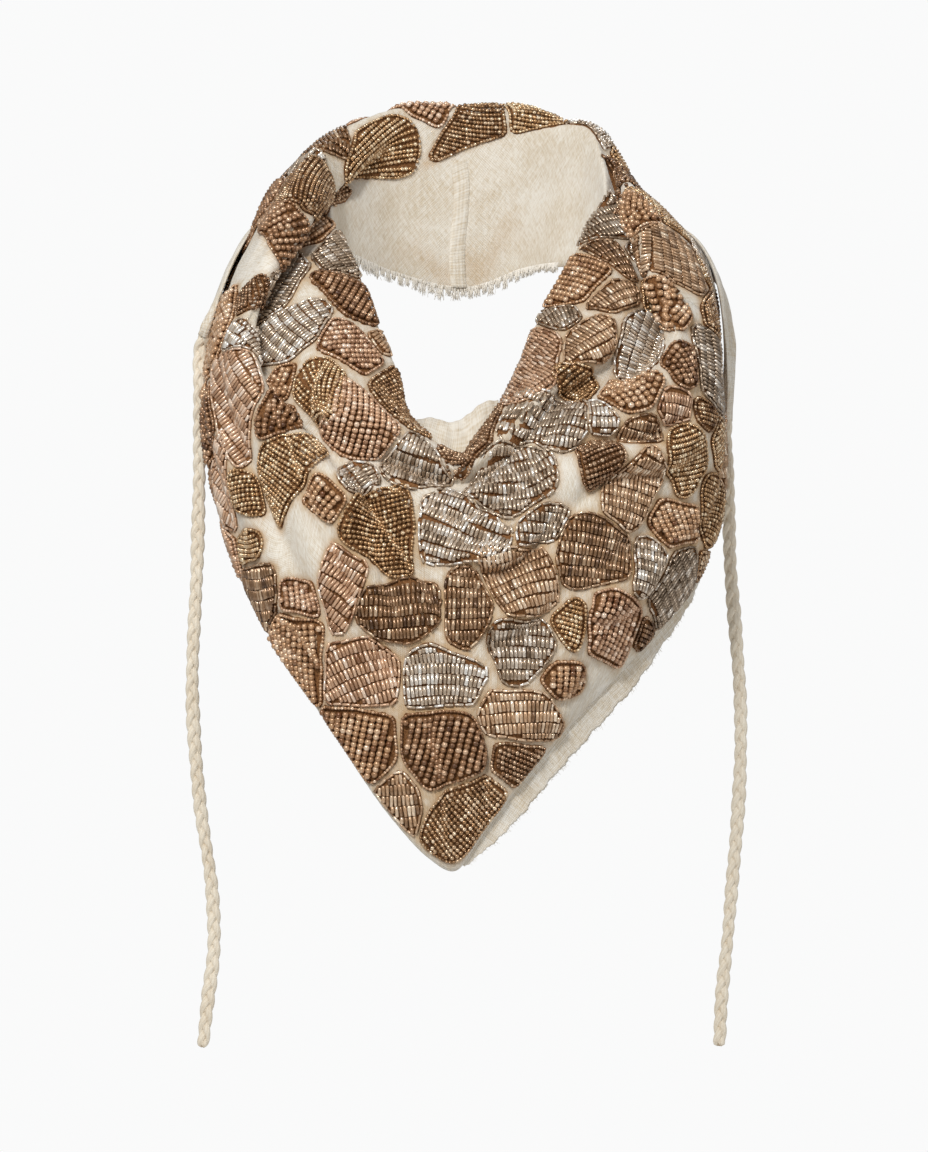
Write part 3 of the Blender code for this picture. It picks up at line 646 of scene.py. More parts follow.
patches = strewPatches()
print(len(patches), "patches of beads")
patchAngles, patchRings, halfWidths, halfHeights, patchTilts, _, bends = np.array(
    [patch[1:] for patch in patches]).T
halfWidths = halfWidths * sewing["grow"]
halfHeights = halfHeights * sewing["grow"]
bends = bends / 1000.0 + 1e-6
patchTilts = np.radians(patchTilts)
squareness = 2.8 + 1.6 * dice.random(len(patches))
wobble = dice.uniform(-1, 1, (len(patches), 6))


def walk(angle, ring, heading, distance, steps):
    # Follows the surface from each place in its heading, turning the heading with the surface, and
    # gives the places passed. A half step ahead sets each step.
    places = [(angle, ring, heading)]
    size = distance / steps

    def slope(angle, ring, heading):
        _, normal, along, down = surfaceAt(angle, ring)
        heading = unit(heading - normal * dot(heading, normal)[..., None])
        e, f, g = dot(along, along), dot(along, down), dot(down, down)
        a, b = dot(along, heading), dot(down, heading)
        scale = 1 / np.maximum(e * g - f * f, 1e-6)
        return (g * a - f * b) * scale, (e * b - f * a) * scale, heading

    for _ in range(steps):
        turn, drop, heading = slope(angle, ring, heading)
        turn, drop, heading = slope(angle + turn * size / 2, ring + drop * size / 2, heading)
        angle = angle + turn * size
        ring = ring + drop * size
        places.append((angle, ring, heading))
    return places


def flatMaps():
    # Each patch's own flat map: from its centre down the cloth both ways, then sideways from there.
    _, normal, _, down = surfaceAt(patchAngles, patchRings)
    down = unit(down - normal * dot(down, normal)[:, None])
    across = np.cross(normal, down)
    cosine, sine = np.cos(patchTilts)[:, None], np.sin(patchTilts)[:, None]
    upright = down * cosine - across * sine
    steps = int(sewing["chart"] / sewing["mapStep"])
    size = 2 * steps + 1
    columnAngle = np.zeros((len(patches), size))
    columnRing = np.zeros((len(patches), size))
    heading = np.zeros((len(patches), size, 3))
    for sign in (-1, 1):
        passed = walk(patchAngles, patchRings, sign * upright, sewing["chart"], steps)
        for number, place in enumerate(passed):
            columnAngle[:, steps + sign * number] = place[0]
            columnRing[:, steps + sign * number] = place[1]
            heading[:, steps + sign * number] = sign * place[2]
    sideways = unit(np.cross(surfaceAt(columnAngle, columnRing)[1], heading))
    mapAngle = np.zeros((len(patches), size, size))
    mapRing = np.zeros((len(patches), size, size))
    for sign in (-1, 1):
        passed = walk(columnAngle, columnRing, sign * sideways, sewing["chart"], steps)
        for number, place in enumerate(passed):
            mapAngle[:, :, steps + sign * number] = place[0]
            mapRing[:, :, steps + sign * number] = place[1]
    return mapAngle, mapRing


mapAngle, mapRing = flatMaps()
mapCentre = mapAngle.shape[1] // 2


def onMap(number, across, down):
    # The angle and ring of a place on a patch's flat map.
    x = np.clip(across / sewing["mapStep"] + mapCentre, 0, 2 * mapCentre - 0.001)
    y = np.clip(down / sewing["mapStep"] + mapCentre, 0, 2 * mapCentre - 0.001)
    column, row = x.astype(int), y.astype(int)
    x, y = x - column, y - row
    found = []
    for grid in (mapAngle[number], mapRing[number]):
        upper = grid[row, column] * (1 - x) + grid[row, column + 1] * x
        lower = grid[row + 1, column] * (1 - x) + grid[row + 1, column + 1] * x
        found.append(upper * (1 - y) + lower * y)
    return found


def placeOnMap(number, other):
    # Where another patch's centre lies on this one's map, or nothing if it is beyond it.
    turn = (mapAngle[number] - patchAngles[other] + 180.0) % 360.0 - 180.0
    drop = mapRing[number] - patchRings[other]
    along, down = surfaceAt(patchAngles[other], patchRings[other])[2:]
    far = (turn * np.linalg.norm(along)) ** 2 + (drop * np.linalg.norm(down)) ** 2
    row, column = np.unravel_index(far.argmin(), far.shape)
    if far[row, column] > 9.0 or min(row, column) == 0 or max(row, column) == 2 * mapCentre:
        return None
    return np.array([column - mapCentre, row - mapCentre]) * sewing["mapStep"]


def reachOf(number, direction):
    # A patch's own reach in a direction: a rounded rectangle, between an ellipse and a box.
    x = np.abs(direction[..., 0]) / halfWidths[number]
    y = np.abs(direction[..., 1]) / halfHeights[number]
    power = squareness[number]
    return (x**power + y**power + 1e-9) ** (-1 / power)


def limits():
    # The straight limits between neighbours: each pair shares its distance by their reaches. A limit
    # is the direction to the neighbour and how far the patch may go that way.
    found = [[] for _ in patches]
    centres = surfaceAt(patchAngles, patchRings)[0]
    for number in range(len(patches)):
        near = np.linalg.norm(centres - centres[number], axis=1) < sewing["near"]
        for other in np.flatnonzero(near):
            if other == number:
                continue
            there = placeOnMap(number, other)
            back = placeOnMap(other, number)
            if there is None or back is None:
                continue
            far = np.linalg.norm(there)
            mine = reachOf(number, there / far)
            theirs = reachOf(other, back / np.linalg.norm(back))
            gap = sewing["gap"] * (0.65 + 0.9 * ((number * other * 7 + number + other) % 11) / 11)
            found[number].append((there / far, far * mine / (mine + theirs) - gap / 2, number + other))
    return found


neighbourLimits = limits()


def inside(number, across, down):
    # How far inside a patch's outline a place is, in mm: the least of its own outline, which bends with
    # its width, its neighbours' limits and the cloth's edges, with the corners between them rounded.
    angle, ring = onMap(number, across, down)
    radius = 1 / bends[number]
    run = np.arctan2(across * np.sign(radius), np.abs(radius) - down * np.sign(radius)) * radius
    height = radius - np.sign(radius) * np.hypot(across, radius - down)
    far = np.hypot(run, height)
    turn = np.arctan2(height, run)
    w = wobble[number]
    uneven = 1 + 0.07 * w[0] * np.sin(2 * turn + 3 * w[1]) + 0.06 * w[2] * np.sin(3 * turn + 3 * w[3])
    uneven += 0.035 * w[4] * np.sin(5 * turn + 3 * w[5])
    reach = reachOf(number, np.stack([np.cos(turn), np.sin(turn)], axis=-1)) * uneven
    parts = [reach - far]
    for direction, most, seed in neighbourLimits[number]:
        along = across * direction[0] + down * direction[1]
        side = down * direction[0] - across * direction[1]
        parts.append(most + 0.35 * np.sin(side * 0.28 + seed) - along)
    slope = np.linalg.norm(surfaceAt(angle, ring)[3], axis=-1)
    parts.append((ring - topEdge(angle)) * slope)
    parts.append((sewing["hemRing"] - ring) * slope)
    total = sum(np.exp(-np.clip(part, -30, 60) / sewing["corner"]) for part in parts)
    return -sewing["corner"] * np.log(total)


def outline(number, inset):
    # The line that lies inset inside the outline, as its distance from the centre in each direction.
    turn = np.linspace(0, 2 * np.pi, sewing["rim"], endpoint=False)
    step = 0.5
    far = np.arange(0, sewing["chart"] - 1, step)
    across, down = far[:, None] * np.cos(turn), far[:, None] * np.sin(turn)
    level = inside(number, across, down) - inset
    out = level < 0
    first = out.argmax(axis=0)
    first = np.where(out.any(axis=0), first, len(far) - 1)
    before = np.maximum(first - 1, 0)
    each = np.arange(len(turn))
    high, low = level[before, each], level[first, each]
    share = np.where(first > 0, high / np.maximum(high - low, 1e-6), 0)
    reach = far[before] + np.clip(share, 0, 1) * step
    smooth = (np.roll(reach, 1) + 2 * reach + np.roll(reach, -1)) / 4
    return np.stack([smooth * np.cos(turn), smooth * np.sin(turn)], axis=1), first.min() > 2


def evenly(line, spacing):
    # Places evenly spaced round a closed line, with the line's direction there.
    closed = np.vstack([line, line[:1]])
    length = lengthAlong(closed)
    count = max(int(round(length[-1] / spacing)), 3)
    at = (np.arange(count) + 0.5) * length[-1] / count
    places = np.stack([np.interp(at, length, closed[:, k]) for k in range(2)], axis=1)
    ahead = np.stack([np.interp((at + 0.4) % length[-1], length, closed[:, k]) for k in range(2)], axis=1)
    return places, ahead - places


def rowsOf(number, kind, turn, bend, inset):
    # Rows of beads that fill a patch: parallel arcs a row's width apart, each filled from end to end.
    # Beads that lie across their row reach as far each way as the outline lets them.
    length, width, pitch, gauge, crosswise, _ = kinds[kind]
    curve = bend / 1000.0 + 1e-6
    most, far = sewing["mostRows"], sewing["fill"]
    level = np.arange(-most, most) * gauge + dice.uniform(-0.5, 0.5) * gauge
    run = np.arange(-far, far + 0.1, sewing["runStep"])
    cosine, sine = math.cos(turn), math.sin(turn)
    wave = dice.uniform(0, 6)

    def onPlan(run, height):
        bent = height + 0.22 * np.sin(run / 7.0 + wave + height / 9) * (1.0 if crosswise else 0.6)
        x = (1 / curve - bent) * np.sin(curve * run)
        y = 1 / curve - (1 / curve - bent) * np.cos(curve * run)
        return x * cosine - y * sine, x * sine + y * cosine

    found = []
    for height in level[np.abs(level) < sewing["rowReach"]]:
        if 1 - curve * height < 0.2:
            continue
        parts = np.linspace(-0.5, 0.5, 9)[:, None] * length if crosswise else np.zeros((1, 1))
        across, down = onPlan(run[None], height + parts)
        fits = (np.maximum(np.abs(across), np.abs(down)) < far) & (inside(number, across, down) > inset)
        full = fits.sum(axis=0) >= (4 if crosswise else 1)
        edges = np.flatnonzero(np.diff(np.concatenate([[False], full, [False]]).astype(int)))
        for first, last in zip(edges[::2], edges[1::2]):
            size = (run[last - 1] - run[first]) * (1 - curve * height)
            count = int(round((size + 0.35 * pitch) / pitch))
            if count < 1:
                continue
            at = run[first] + (np.arange(count) + 0.5) / count * (run[last - 1] - run[first])
            nearest = np.round((at - run[0]) / sewing["runStep"]).astype(int)
            nearest = np.clip(nearest, first, last - 1)
            if crosswise:
                low = parts[fits[:, nearest].argmax(axis=0), 0]
                high = parts[len(parts) - 1 - fits[::-1, nearest].argmax(axis=0), 0]
            else:
                low = high = np.zeros(count)
            middle = height + (low + high) / 2
            here = np.stack(onPlan(at, middle), axis=1)
            ahead = np.stack(onPlan(at, middle + 0.3) if crosswise else onPlan(at + 0.3, middle), axis=1)
            reach = high - low + 0.15 if crosswise else np.full(count, length)
            found.append((here, ahead - here, reach, np.full(count, width)))
    return [np.concatenate(part) for part in zip(*found)] if found else None


# finish: three colours from the darkest to the lightest bead, the lightest near the colour of a glint, as
# painted highlight; roughness, metallic, coat
finishes = {
    "copper": [(0.17, 0.062, 0.018), (0.565, 0.333, 0.175), (0.88, 0.66, 0.47), 0.26, 0.3, 0.4],
    "rose": [(0.20, 0.08, 0.03), (0.644, 0.395, 0.237), (0.92, 0.72, 0.56), 0.26, 0.25, 0.4],
    "russet": [(0.09, 0.033, 0.010), (0.373, 0.198, 0.096), (0.72, 0.49, 0.32), 0.26, 0.35, 0.4],
    "gold": [(0.15, 0.07, 0.02), (0.531, 0.316, 0.147), (0.98, 0.80, 0.55), 0.2, 0.55, 0.4],
    "bronze": [(0.10, 0.04, 0.012), (0.407, 0.232, 0.107), (0.92, 0.72, 0.50), 0.2, 0.55, 0.4],
    "brown": [(0.07, 0.03, 0.009), (0.282, 0.147, 0.068), (0.70, 0.50, 0.33), 0.22, 0.5, 0.4],
    "silver": [(0.22, 0.145, 0.085), (0.655, 0.525, 0.395), (1.0, 0.97, 0.91), 0.15, 0.45, 0.5],
    "grey": [(0.14, 0.088, 0.048), (0.441, 0.328, 0.226), (0.93, 0.84, 0.73), 0.17, 0.45, 0.5],
    "blush": [(0.25, 0.115, 0.052), (0.678, 0.429, 0.266), (0.98, 0.81, 0.66), 0.22, 0.25, 0.5],
    "tan": [(0.18, 0.09, 0.038), (0.565, 0.356, 0.203), (0.94, 0.77, 0.58), 0.22, 0.3, 0.5],
    "umber": [(0.09, 0.042, 0.017), (0.35, 0.198, 0.099), (0.76, 0.57, 0.39), 0.22, 0.4, 0.5],
}


def beadMaterial(name, values):
    # Each bead has its own tone, with a fine speckle of noise over its colour.
    dark, middle, bright, roughness, metallic, coat = values
    made, shader, shade = newMaterial(name + " beads", {
        "Metallic": metallic, "Coat Weight": coat, "Coat Roughness": 0.1})
    tone = shade.node("ShaderNodeAttribute", {"attribute_name": "tone"}, output=2)
    place = shade.node("ShaderNodeTexCoord", output=3)
    speck = shade.noise(place, 900.0, 1.0)
    mixed = (tone + (speck - 0.5) * 0.35).clamped()
    colour = shade.ramp(mixed, [(0.0, dark), (0.5, middle), (1.0, bright)])
    link(shade, colour, shader, "Base Color")
    link(shade, roughness + (0.5 - tone) * 0.16, shader, "Roughness")
    return made


def beadShape(tube, large):
    # A small barrel, one long and one wide: rows of points round the thread, at shares of the length
    # with shares of the width.
    if tube:
        sides, stops = 5, [(-0.5, 0.66), (-0.45, 1.02), (0.45, 1.02), (0.5, 0.66)]
    elif large:
        sides, stops = 6, [(-0.5, 0.68), (0.0, 1.04), (0.5, 0.68)]
    else:
        sides, stops = 5, [(-0.5, 0.66), (0.0, 1.08), (0.5, 0.66)]
    turn = np.arange(sides) * 2 * np.pi / sides
    rows = [np.stack([np.full(sides, x), share / 2 * np.cos(turn), share / 2 * np.sin(turn)], axis=1)
            for x, share in stops]
    points = np.concatenate(rows)
    return points, outwards(points, tubeFaces(len(stops), sides))


def settle(number, places, headings, height):
    # Places on a patch's map, set on the cloth: each bead's centre, its axis and the way outwards.
    angle, ring = onMap(number, places[:, 0], places[:, 1])
    point, normal = surfaceAt(angle, ring)[:2]
    angle, ring = onMap(number, places[:, 0] + headings[:, 0], places[:, 1] + headings[:, 1])
    axis = surfaceAt(angle, ring)[0] - point
    axis = unit(axis - normal * dot(axis, normal)[:, None])
    return point + normal * height[:, None], axis, normal


sewn = {name: [] for name in finishes}  # finish: centres, axes, normals, sizes and tones of its beads
grounds = []
for number, patch in enumerate(patches):
    kind, turn, bend = patch[0], patch[6], patch[7]
    gauge, crosswise, finish = kinds[kind][3:]
    if not outline(number, 0.0)[1]:
        continue
    grounds.append((number, outline(number, -0.15)[0]))
    drift = dice.uniform(-chance["patchTone"], chance["patchTone"])
    # a fine row couched round the edge, end to end, and the rows within it
    long, wide = (4.4, 1.3) if crosswise else (1.6, 1.6)
    rim, ahead = evenly(outline(number, wide / 2)[0], long + (0.3 if crosswise else 0.12))
    groups = [(rim, ahead, np.full(len(rim), long), np.full(len(rim), wide))]
    bent = bend if abs(turn) < 45 else 4
    within = rowsOf(number, kind, math.radians(turn), bent, wide + (0.2 if crosswise else 0.28 * gauge))
    groups += [within] if within else []
    for places, headings, longs, wides in groups:
        height = sewing["lift"] + 0.08 + wides * 0.46
        centre, axis, normal = settle(number, places, unit(headings) * 0.8, height)
        count = len(centre)
        tone = chance["tone"] + drift + dice.normal(0, chance["toneSpread"], count)
        # painted glints: a few beads made much lighter, as the sparkle of lined glass
        bright = dice.random(count) < chance["paintedGlintShare"]
        tone += np.where(bright, dice.uniform(*chance["paintedGlintLift"], count), 0)
        size = dice.normal(1, chance["sizeSpread"], (count, 2)).clip(*chance["sizeLimits"])
        sewn[finish].append((centre, axis, normal, tone, size, longs, wides))
print(len(grounds), "patches outlined")


def layBeads(finish, batches):
    # One mesh of all the beads of a finish: the bead's points along its axis, its normal and the third
    # way, moved to each centre.
    centre, axis, normal, tone, size, long, wide = (np.concatenate(part) for part in zip(*batches))
    count = len(centre)
    side = np.cross(normal, axis)
    nod = dice.normal(0, chance["nod"], (count, 1))
    swing = dice.normal(0, chance["swing"], (count, 1))
    axis = unit(axis + normal * nod + side * swing)
    normal = unit(normal - axis * dot(normal, axis)[:, None])
    side = np.cross(normal, axis)
    centre = centre + normal * dice.normal(0, chance["lift"], (count, 1))
    tube = long.max() > 4
    shape, faces = beadShape(tube, wide.max() > 2.8)
    points = centre[:, None]
    for k, (way, scale) in enumerate([(axis, long * size[:, 0]), (normal, wide * size[:, 1]),
                                      (side, wide * size[:, 1])]):
        points = points + (shape[:, k][None, :] * scale[:, None])[..., None] * way[:, None]
    points = points.reshape(-1, 3)
    faces = (faces[None] + (np.arange(count) * len(shape))[:, None, None]).reshape(-1, 3)
    newPiece(finish + "Beads", points, outwards(points, faces), beadMaterial(finish, finishes[finish]),
             values={"tone": np.repeat(np.clip(tone, 0, 1), len(shape))})
    print(finish, "beads:", count, "with", len(faces), "triangles")


for finish, batches in sewn.items():
    if batches:
        layBeads(finish, batches)


def threadGround():
    # The couched thread that the beads of a patch lie on, made dark as painted shade in the gaps between
    # beads: a low cushion within each outline, with its heights at shares of the way from its middle to its
    # rim.
    made, shader, shade = newMaterial("couched thread with painted gap shade", {"Roughness": 0.85, "Specular IOR Level": 0.15})
    place = shade.node("ShaderNodeTexCoord", output=3)
    strand = shade.noise(place, 1400.0, 2.0)
    # partly the thread's own brown, partly painted shade: its darkest stop is the shade tone of the gaps
    colour = shade.ramp(strand, [(0.3, (0.10, 0.036, 0.011)), (0.75, (0.32, 0.155, 0.06))])
    link(shade, colour, shader, "Base Color")
    link(shade, shade.bump(strand, 0.6, 0.0004), shader, "Normal")
    shares = np.array([0.0, 0.17, 0.34, 0.5, 0.66, 0.82, 0.94, 1.0])
    height = np.array([1, 1, 1, 1, 1, 0.95, 0.7, 0.25])[:, None, None] * sewing["lift"]
    points, faces = [], []
    rim = sewing["rim"]
    for number, edge in grounds:
        start = len(points) * len(shares) * rim
        flat = shares[:, None, None] * edge[None]
        angle, ring = onMap(number, flat[..., 0], flat[..., 1])
        point, normal = surfaceAt(angle, ring)[:2]
        points.append((point + normal * (height + 0.12)).reshape(-1, 3))
        faces.append(gridFaces(len(shares), rim, closed=True, first=start)[:, ::-1])
    newPiece("couchedThreadAndGapShade", np.concatenate(points), np.concatenate(faces), made)


threadGround()


def paintedShadowGrid():
    # Painted shadow on the cloth, in ochre, cast by the beadwork: one inside a patch, fading outside it.
    found = np.zeros((rowCount, columnCount))
    fade = 2.5
    reach = np.arange(-sewing["fill"], sewing["fill"] + 0.1, sewing["mapStep"] / 2)
    across, down = np.meshgrid(reach, reach)
    for number, _ in grounds:
        level = inside(number, across, down)
        keep = level > -fade
        angle, ring = onMap(number, across[keep], down[keep])
        column = np.round(((angle + 180) % 360) / angleStep).astype(int) % columnCount
        row = np.clip(np.round(ring / ringStep).astype(int), 0, rowCount - 1)
        np.maximum.at(found, (row, column), np.clip(1 + level[keep] / fade, 0, 1))
    for _ in range(2):
        found = (np.roll(found, 1, 1) + found + np.roll(found, -1, 1)) / 3
        found[1:-1] = (found[2:] + found[1:-1] + found[:-2]) / 3
    # painted shade too, in ochre, where the back's lower edge bunches, at both sides of the seam
    ring, angle = np.meshgrid(rowRings, columnAngles, indexing="ij")
    away = np.abs(angle) - 180.0
    paintedBunchShade = np.exp(-((away + 4) / 11.0) ** 2 - ((ring - 0.5 - 0.25 * np.sin(away * 0.4)) / 0.32) ** 2)
    return np.maximum(found, 0.42 * paintedBunchShade * (ring < 1.6))


stain = paintedShadowGrid()
print("beads sewn")


gauze = {
    "light": (0.83, 0.785, 0.70),
    "shade": (0.62, 0.52, 0.38),
    # the colour of the painted shadow round the patches and of the painted shade where the cloth bunches
    "paintedShadeOchre": (0.50, 0.30, 0.12),
    "thread": 0.95,  # the weave's spacing, mm
}


def gauzeMaterial(name, shadowPainted):
    # Woven threads from two sine waves on the cloth's own map in mm, slubs from noise, and ochre painted
    # shadow round the beadwork's patches and painted shade where the cloth bunches.
    made, shader, shade = newMaterial(name, {"Roughness": 0.92, "Sheen Weight": 0.25, "Sheen Roughness": 0.5})
    place = shade.node("ShaderNodeTexCoord", output=3)
    flat, across, down = shade.clothMap()
    slub = shade.noise(flat, 0.9, 3.0)
    cloud = shade.noise(place, 38.0, 3.0)
    fine = shade.noise(place, 420.0, 2.0)
    turn = 2 * math.pi / gauze["thread"]
    warp = (across * turn + slub * 3.0).sine()
    weft = (down * turn + slub * 2.6).sine()
    weave = warp * 0.25 + weft * 0.25 + 0.5
    slant = ((across + down) * 1.1 + slub * 2.0).sine() * 0.5 + 0.5
    streaks = []  # uneven threads each way, longer than wide
    for x, y in ((0.10, 1.1), (1.1, 0.10)):
        spread = shade.node("ShaderNodeCombineXYZ", {}, {"X": across * x, "Y": down * y})
        streaks.append(shade.noise(spread, 1.0, 2.0))
    tone = weave * 0.5 + slant * 0.12 + (cloud - 0.5) * 1.5 + (fine - 0.5) * 0.6
    tone = tone + (slub - 0.5) * 0.5 + 0.27
    tone = (tone + (streaks[0] - 0.5) * 1.5 + (streaks[1] - 0.5) * 1.5).clamped()
    cream = shade.blend(tone, gauze["shade"], gauze["light"])
    if shadowPainted:
        # painted shadow: how much ochre shade the beadwork and the bunched cloth lay on it
        brown = shade.node("ShaderNodeAttribute", {"attribute_name": "stain"}, output=2)
        share = (brown ** 1.3 * 0.9 + (0.5 - fine) * 0.3 * brown).clamped()
        cream = shade.blend(share, cream, gauze["paintedShadeOchre"])
    link(shade, cream, shader, "Base Color")
    link(shade, shade.bump(weave * 0.6 + fine * 0.7, 0.55, 0.0005), shader, "Normal")
    return made


drape = {
    "seam": 100.0,
    "frontColumns": 236,
    "frontRows": 124,
    "collarColumns": 184,
    "collarRows": 100,
    "thickness": 0.55,
    "inside": 1.8,  # how much deeper the inner face lies
    "pucker": 0.16,
}
clothGauze = gauzeMaterial("cream gauze", True)


def clothPiece(name, first, last, columns, rows, node):
    # A closed shell along the sheet, half its thickness outside the sheet's middle and more inside it.
    # Rows stand closer where the sheet turns.
    angles = np.linspace(first, last, columns)
    lines = np.linspace(0.0, 10.0, rows)
    lines = lines + 0.16 * np.sin(2 * np.pi * lines / 10.0)
    angle, ring = np.meshgrid(angles, lines)
    point, normal, along, _ = surfaceAt(angle, ring)
    pucker = drape["pucker"] * np.sin(angle * 1.9 + 3 * np.sin(ring * 2.1))
    pucker = pucker * np.sin(ring * 4.3 + 2 * np.sin(angle * 0.11))
    half = drape["thickness"] / 2 * np.clip(np.minimum(lines, 10 - lines) / 0.05, 0.45, 1)[:, None, None]
    outer = point + normal * (half + pucker[..., None])
    inner = point + normal * (pucker[..., None] - half * drape["inside"])
    length = np.cumsum(np.linalg.norm(np.diff(point, axis=0, prepend=point[:1]), axis=2), axis=0)
    wide = np.linalg.norm(along, axis=2)[rows * 4 // 5]
    flat = np.stack([np.cumsum(wide)[None, :] * (last - first) / columns + 0 * length, length], axis=-1)
    if name == "collarCloth":
        flat = (flat @ np.array([[1, 1], [-1, 1]])) * math.sqrt(0.5)  # cut on the cross
    # the painted shadow, weaker on the inner face
    value = readGrid(stain[:, :, None], angle, ring)[..., 0].ravel()
    made = shellPiece(name, outer, inner, flat, clothGauze,
                      values={"stain": np.concatenate([value, 0.25 * value])})
    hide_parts(node)
    print(name, "with", 2 * len(made.data.polygons), "triangles")
    return made


front = clothPiece("drapeCloth", -drape["seam"], drape["seam"], drape["frontColumns"], drape["frontRows"],
                   "front_drape")
collar = clothPiece("collarCloth", drape["seam"], 360 - drape["seam"], drape["collarColumns"],
                    drape["collarRows"], "collar")


# The plain ends, folded strips that cross at the nape: angle, ring, distance out, width, and how much
# further out one edge stands.
tailTables = {
    "tail_right": [
        (-163, 9.0, 3.4, 22, 0), (-172, 8.6, 3.4, 26, 0), (180, 8.25, 3.4, 29, 0), (165, 7.95, 3.4, 30, 0),
        (148, 7.85, 3.4, 29, 0), (130, 8.0, 3.6, 26, 1), (118, 8.3, 4.2, 23, 4), (111, 8.7, 4.8, 17, 6),
        (107, 9.2, 5.6, 10, 3), (105.5, 9.7, 6.2, 6, 0),
    ],
    "tail_left": [
        (163, 9.0, 7.2, 22, 0), (172, 8.6, 7.2, 25, 0), (180, 8.3, 7.2, 28, 0), (-165, 8.2, 6.6, 28, 0),
        (-148, 8.25, 4.2, 26, 0), (-130, 8.25, 3.4, 24, 0), (-117, 7.9, 3.4, 19, 1), (-109, 7.5, 4.0, 12, 1),
        (-105.6, 7.46, 5.2, 7, 0), (-105, 7.6, 5.6, 6, 0),
    ],
}
tails = {"wall": 2.0, "across": 26, "along": 120, "tie": 6.8, "gather": 0.45}
plainGauze = gauzeMaterial("plain gauze", False)


def tailPiece(name, node, table, rear):
    # A strip carried along its path on the cloth, closed all round, with soft gathers along its length
    # that deepen towards the narrow end.
    table = np.array(table, float)
    table[:, 0] = np.degrees(np.unwrap(np.radians(table[:, 0])))
    path = hermite(np.arange(len(table), dtype=float), table, np.linspace(0, len(table) - 1, tails["along"]))
    here, normal, along, down = surfaceAt(path[:, 0], path[:, 1])
    here = here + normal * path[:, 2:3]
    forward = np.gradient(here, axis=0)
    across = unit(np.cross(normal, forward))
    place = np.linspace(-0.5, 0.5, tails["across"])[:, None]
    arch = 1 - (2 * place) ** 2
    step = across[None] * (place * path[:, 3])[..., None]
    e, f, g = dot(along, along), dot(along, down), dot(down, down)
    a, b = dot(step, along[None]), dot(step, down[None])
    turn, drop = (g * a - f * b) / (e * g - f * f), (e * b - f * a) / (e * g - f * f)
    below, outward, _, _ = surfaceAt(path[:, 0] + turn, np.clip(path[:, 1] + drop, 5.2, 9.95))
    share = np.clip((path[:, 3] - 8) / 8, 0, 1)[None, :, None]
    middle = share * (below + outward * path[:, 2][None, :, None]) + (1 - share) * (here[None] + step)
    middle = middle + normal * (path[:, 4] * np.maximum(0, 2 * rear * place))[..., None]
    run = np.linspace(0, 1, tails["along"])[None, :]
    pull = tails["gather"] * (0.5 + run) * np.sin(place * 26 + 1.5 * np.sin(run * 7))
    pull = pull * (1 - (2 * place) ** 6)
    pull = pull + 0.22 * np.sin(place * 61 + 9 * run + 2 * np.sin(run * 23))
    middle = middle + normal * (pull * 0.8)[..., None]
    thick = tails["wall"] * 0.8 + (1 - share[..., 0]) * (tails["tie"] * 0.72 - tails["wall"]) * arch
    thick = thick * np.sqrt(np.clip(1 - (2 * place) ** 8, 0.05, 1))
    outer = middle + normal * (thick * 0.5 + 0.6 * arch)[..., None]
    inner = middle - normal * (thick * 0.5 - 0.6 * arch * share[..., 0])[..., None]
    length = lengthAlong(here)
    flat = np.stack([place * path[:, 3], 0 * place + length], axis=-1)
    made = shellPiece(name, outer, inner, flat, plainGauze)
    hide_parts(node)
    return made, length[-1]


rightTail, rightRun = tailPiece("tailRight", "tail_right", tailTables["tail_right"], 1)
leftTail, leftRun = tailPiece("tailLeft", "tail_left", tailTables["tail_left"], -1)
print("tails", round(rightRun), round(leftRun), "mm")

# rows of points in mm, from the lower front edge of the fold up and back
innerRows = [
    [(-29, -113, -120), (-20, -120, -128), (-5, -126, -137), (8, -124, -132), (18, -116, -122)],
    [(-27, -110, -114), (-18, -114, -120), (-4, -117, -127), (8, -115, -123), (17, -110, -112)],
    [(-25, -105, -112), (-16, -106, -111), (-4, -107, -113), (9, -106, -104), (17, -103, -102)],
    [(-24, -99, -113), (-15, -98, -113), (-3, -98, -116), (9, -98, -107), (16, -98, -104)],
]


def innerFold():
    # The plain fold inside the front of the neck: smooth both ways through its rows.
    rows, columns, given = 30, 60, len(innerRows)
    fine = np.array([smoothLine(row, columns) for row in innerRows]).reshape(given, -1)
    tall = hermite(np.arange(given) * 1.0, fine, np.linspace(0, given - 1, rows)).reshape(rows, columns, 3)
    across, down = np.meshgrid(np.linspace(0, 1, columns), np.linspace(0, 1, rows))
    normal = unit(np.cross(np.gradient(tall, axis=1), np.gradient(tall, axis=0)))
    wave = 0.5 * np.sin(across * 17 + 2 * np.sin(down * 5)) * np.sin(down * np.pi)
    wave = wave + 0.2 * np.sin(across * 44 + down * 9)
    tall = tall + normal * wave[..., None]
    half = normal * 0.3
    flat = np.stack([across * 50, down * 22], axis=-1)
    made = shellPiece("innerFold", tall - half, tall + half, flat, plainGauze)
    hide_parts("inner_fold")


innerFold()

# angle, how far the strip under the right lower edge shows past the beaded cloth, mm
hemShows = np.array([(3, 1.5), (12, 7.0), (22, 10.5), (45, 12.0), (60, 11.0), (75, 6.5), (86, 2.0)], float)
hem = {"columns": 220, "rows": 16, "tuck": 5.0, "behind": 1.85, "threads": 260, "threadWidth": 0.16}
threads = []  # strands of thread: a line of points and a thickness each


